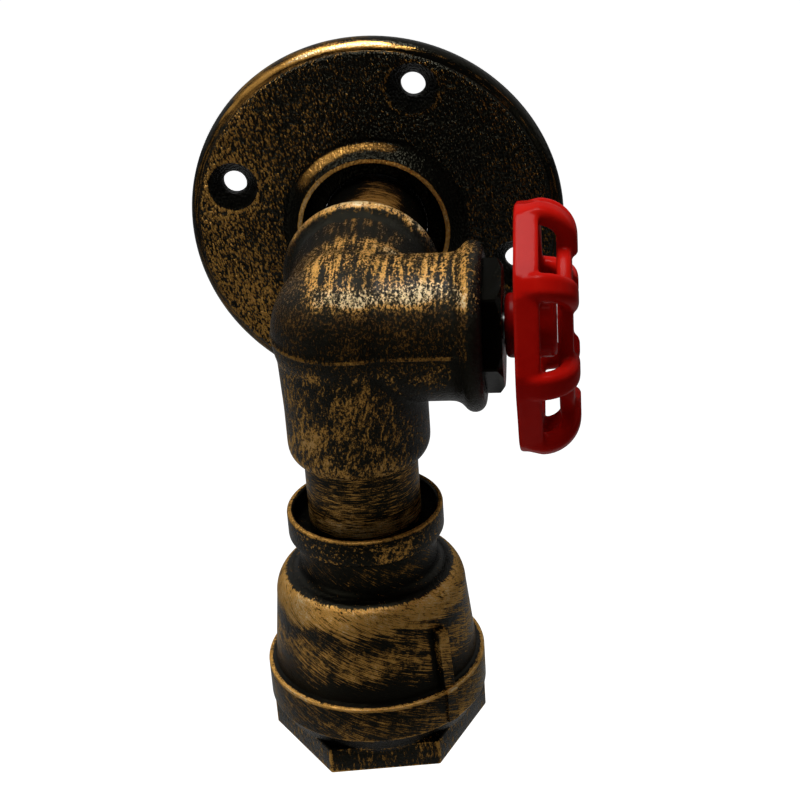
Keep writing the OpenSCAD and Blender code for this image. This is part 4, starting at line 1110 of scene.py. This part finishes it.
def make_wires(finishes):
    """The insulated wires from the terminal block to the switch, the lampholder and the earth tag."""
    def from_elbow(*points):
        return [(x, y - ARM, z) for x, y, z in points]

    def down_the_tube(side):
        lead = side * TUBE_LEAD
        return from_elbow(
            (lead, 0, -31.6), (lead, 0, -54.4), (lead, 0, -64.1),
            (side * 2.4, 0, -69.5), (side * 5.4, 0, -73.5), (side * 8.6, 0, -73.7),
        )

    def out_of_block(pole):
        return [(pole * POLE_STEP, -18, 0), (pole * POLE_STEP, -26, 0)]

    live = out_of_block(1) + from_elbow(
        (5.5, 30, 0), (4, 16, 0), (3, 9, 1), (4.5, 5.6, 1), (8.1, 5, 0), (10.6, 5, 0))
    switched = from_elbow(
        (10.6, -5, 0), (8.1, -5, 0), (4, -4.2, -2), (2.5, -2.2, -8), (1.7, -0.2, -18)) + down_the_tube(1)
    neutral = out_of_block(-1) + from_elbow(
        (-5.5, 28, 0), (-5.5, 12, -1), (-4, 3, -6), (-2, 0.2, -17)) + down_the_tube(-1)
    earth = out_of_block(0) + from_elbow(
        (0, 30, 0), (0, 18, -1), (0, 11, -6), (0, 8.6, -14), (0, 8.6, -28), (0, 8.7, -49.8), (0, 8.7, -57.8))
    for name, route, finish in (
        ("live", live, "brown"), ("switched", switched, "brown"),
        ("neutral", neutral, "blue"), ("earth", earth, "earth"),
    ):
        wire = tube_along(name + "_lead", smooth_route(route), WIRE_R)
        dress(wire, 60, finishes[finish], "arm", finish + "_insulation", name + "_wire")


def make_terminal_block(cream):
    half_w, half_t, end = TERMINAL_W / 2, TERMINAL_T / 2, TERMINAL_BACK + TERMINAL_LEN
    body = eased(block("terminal_body", (-half_w, -end, -half_t), (half_w, -TERMINAL_BACK, half_t)), 0.8)
    for pole in POLES:
        x = pole * POLE_STEP
        bore = cylinder("bore", OFF_WALL.through((x, 0, 0)), POLE_R, TERMINAL_BACK - PAST, end + PAST, 32)
        cut(body, bore)
        for y in GRUB_PLACES:
            well = cylinder("well", UPRIGHT.through((x, -y, 0)), GRUB_R + CLEAR, POLE_R, TERMINAL_T, 32)
            cut(body, well)
    dress(body, 35, cream, "arm", "cream_plastic", "terminal_block")


def make_terminal_screws(steel):
    """The terminal block's slotted screws, two to a pole."""
    half, depth = 0.25, 0.7
    outline = chamfered_outline(0, GRUB_R, GRUB_LOW, GRUB_HIGH, 0.3)
    screws = []
    for x, y in [(pole * POLE_STEP, -place) for pole in POLES for place in GRUB_PLACES]:
        screw = turned("grub_screw", UPRIGHT.through((x, y, 0)), outline, 32)
        slot = block("slot", (x - 2, y - half, GRUB_HIGH - depth), (x + 2, y + half, GRUB_HIGH + PAST))
        screws.append(cut(screw, slot))
    dress(joined("grub_screws", *screws), 30, steel, "arm", "bright_steel", "terminal_screws")


def finish_inner(finishes):
    """Better finishes for the solids that stay inside."""
    for finish, nodes in (
        ("bakelite", ("switch_case", "holder_cap")),
        ("board", ("switch_base",)),
        ("brass", (
            "switch_contacts", "rotor_bridge", "threaded_tube", "tube_nut", "earth_tag", "holder_terminals")),
        ("steel", ("switch_screws", "switch_spindle")),
        ("cream", ("switch_rotor",)),
    ):
        for node in nodes:
            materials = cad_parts[node].data.materials
            materials.clear()
            materials.append(finishes[finish])


set_camera()
set_studio()
set_floor()
make_flange()
make_elbow()
make_pipes()
make_cup()
make_plug()
make_handwheel()
small = finish_small_pieces()
make_wheel_fixings(small["steel"])
make_skirt(small["bakelite"])
make_contact_block(small["porcelain"])
make_centre_contact(small["brass"])
make_spring(small["steel"])
make_shell(small["brass"])
make_wires(small)
make_terminal_block(small["cream"])
make_terminal_screws(small["steel"])
finish_inner(small)
